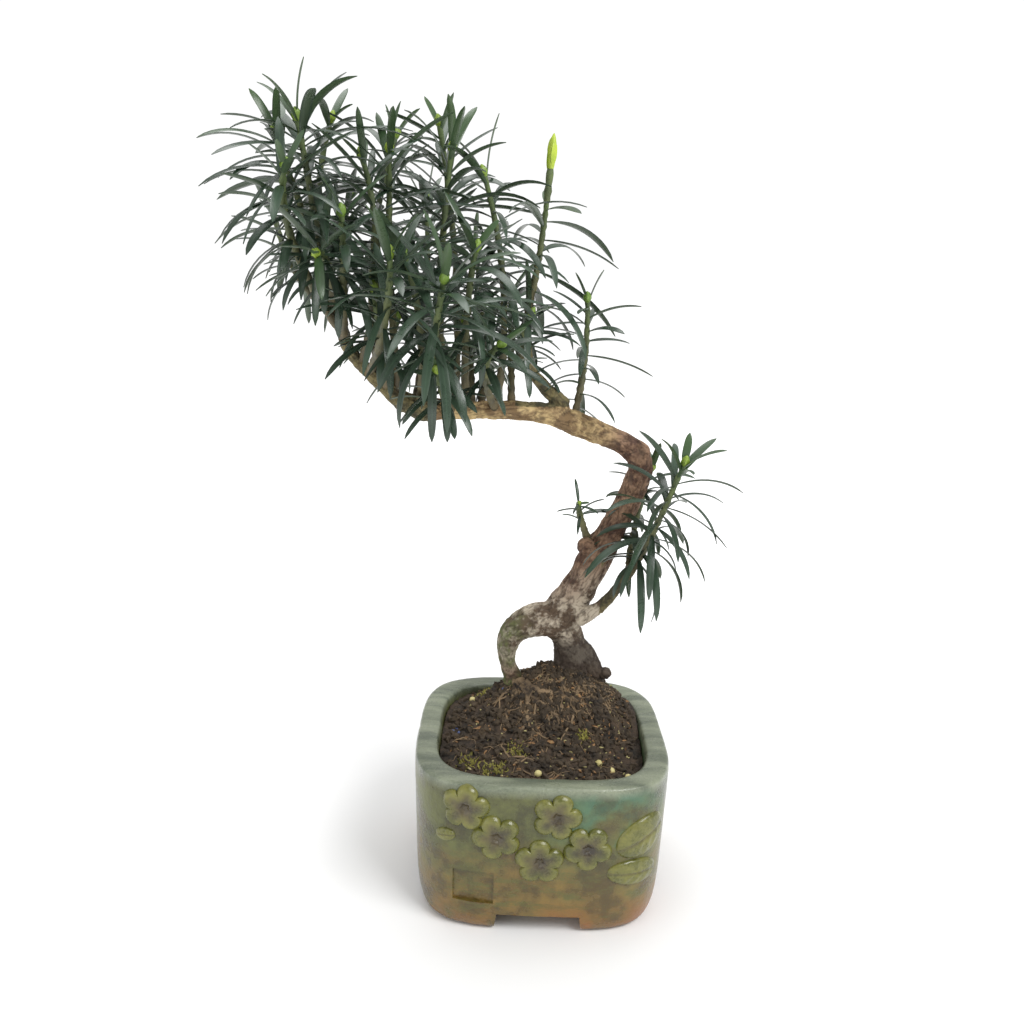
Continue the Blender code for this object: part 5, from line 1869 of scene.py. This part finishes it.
def make_foliage():
    """All shoots, gathered by the limb that carries them: its leaves, its stems and its buds."""
    leaf_finish = make_leaf_finish()
    stem_finish = make_stem_finish()
    bud_finish = make_bud_finish()
    for region, limb in REGIONS.items():
        nodes = [name for name, shoot in SHOOTS.items() if shoot.limb == limb]
        leaves = Growth()
        stems = Growth()
        buds = Growth()
        for name in nodes:
            shoot = SHOOTS[name]
            clothe(shoot, Stem(shoot, ROUTES[limb]), leaves, stems, buds)
        leaves.piece(f"leaves_{region}", leaf_finish, "leaf", nodes)
        stems.piece(f"stems_{region}", stem_finish, "bark", nodes)
        buds.piece(f"buds_{region}", bud_finish, "leaf", nodes)


# Stage


def make_floor():
    """A plain pale floor that glows white away from the object, as a lit studio sweep does."""
    deselect()
    bpy.ops.mesh.primitive_plane_add(size=FLOOR_SIZE)
    floor = bpy.context.object
    floor.name = "floor"
    finish = bpy.data.materials.new("pale_floor")
    finish.use_nodes = True
    tree = finish.node_tree
    shader = tree.nodes["Principled BSDF"]
    shader.inputs["Base Color"].default_value = (*FLOOR_TONE, 1.0)
    shader.inputs["Roughness"].default_value = 0.9
    shader.inputs["Emission Color"].default_value = (*WHITE, 1.0)
    away = tree.nodes.new("ShaderNodeVectorMath")
    away.operation = "LENGTH"
    feed(tree, tree.nodes.new("ShaderNodeTexCoord").outputs["Object"], away.inputs[0])
    glow = map_range(tree, away.outputs["Value"], *FLOOR_GLOW, 0.0, FLOOR_GLOW_STRENGTH)
    feed(tree, glow, shader.inputs["Emission Strength"])
    floor.data.materials.append(finish)


def make_light():
    """A white world, brighter where the camera sees it, and three soft lamps."""
    world = bpy.data.worlds.new("studio")
    bpy.context.scene.world = world
    world.use_nodes = True
    tree = world.node_tree
    backdrop = tree.nodes["Background"]
    backdrop.inputs["Color"].default_value = (*WHITE, 1.0)
    seen = tree.nodes.new("ShaderNodeLightPath").outputs["Is Camera Ray"]
    feed(tree, map_range(tree, seen, 0.0, 1.0, SKY_LIGHT, SKY_SEEN), backdrop.inputs["Strength"])
    for name, (place, size, power) in LAMPS.items():
        light = bpy.data.lights.new(name, "AREA")
        light.size = size
        light.energy = power
        lamp = linked(name, light)
        lamp.location = place
        lamp.rotation_euler = (Vector(LAMP_TARGET) - Vector(place)).to_track_quat("-Z", "Y").to_euler()


def make_camera():
    """The camera, where the photograph was taken from."""
    camera = linked("camera", bpy.data.cameras.new("camera"))
    camera.data.lens = CAMERA_LENS
    camera.data.sensor_width = CAMERA_SENSOR
    ahead = Vector((0.0, math.cos(CAMERA_PITCH), -math.sin(CAMERA_PITCH)))
    level_up = Vector((0.0, math.sin(CAMERA_PITCH), math.cos(CAMERA_PITCH)))
    level_right = Vector((1.0, 0.0, 0.0))
    right = level_right * math.cos(CAMERA_ROLL) + level_up * math.sin(CAMERA_ROLL)
    up = level_up * math.cos(CAMERA_ROLL) - level_right * math.sin(CAMERA_ROLL)
    turned_axes = Matrix((right, up, -ahead)).transposed().to_4x4()
    camera.matrix_world = Matrix.Translation(CAMERA_PLACE) @ turned_axes
    bpy.context.scene.camera = camera


def make_stage():
    """The floor, the light and the camera."""
    make_floor()
    make_light()
    make_camera()
    bpy.context.scene.view_settings.view_transform = "Standard"


ROUTES = limb_routes()
make_stage()
make_pot(make_pot_finish())
make_ornaments(make_petal_finish())
make_soil()
dress_soil(random.Random(LITTER_SEED))
make_bark(make_bark_finish())
make_foliage()
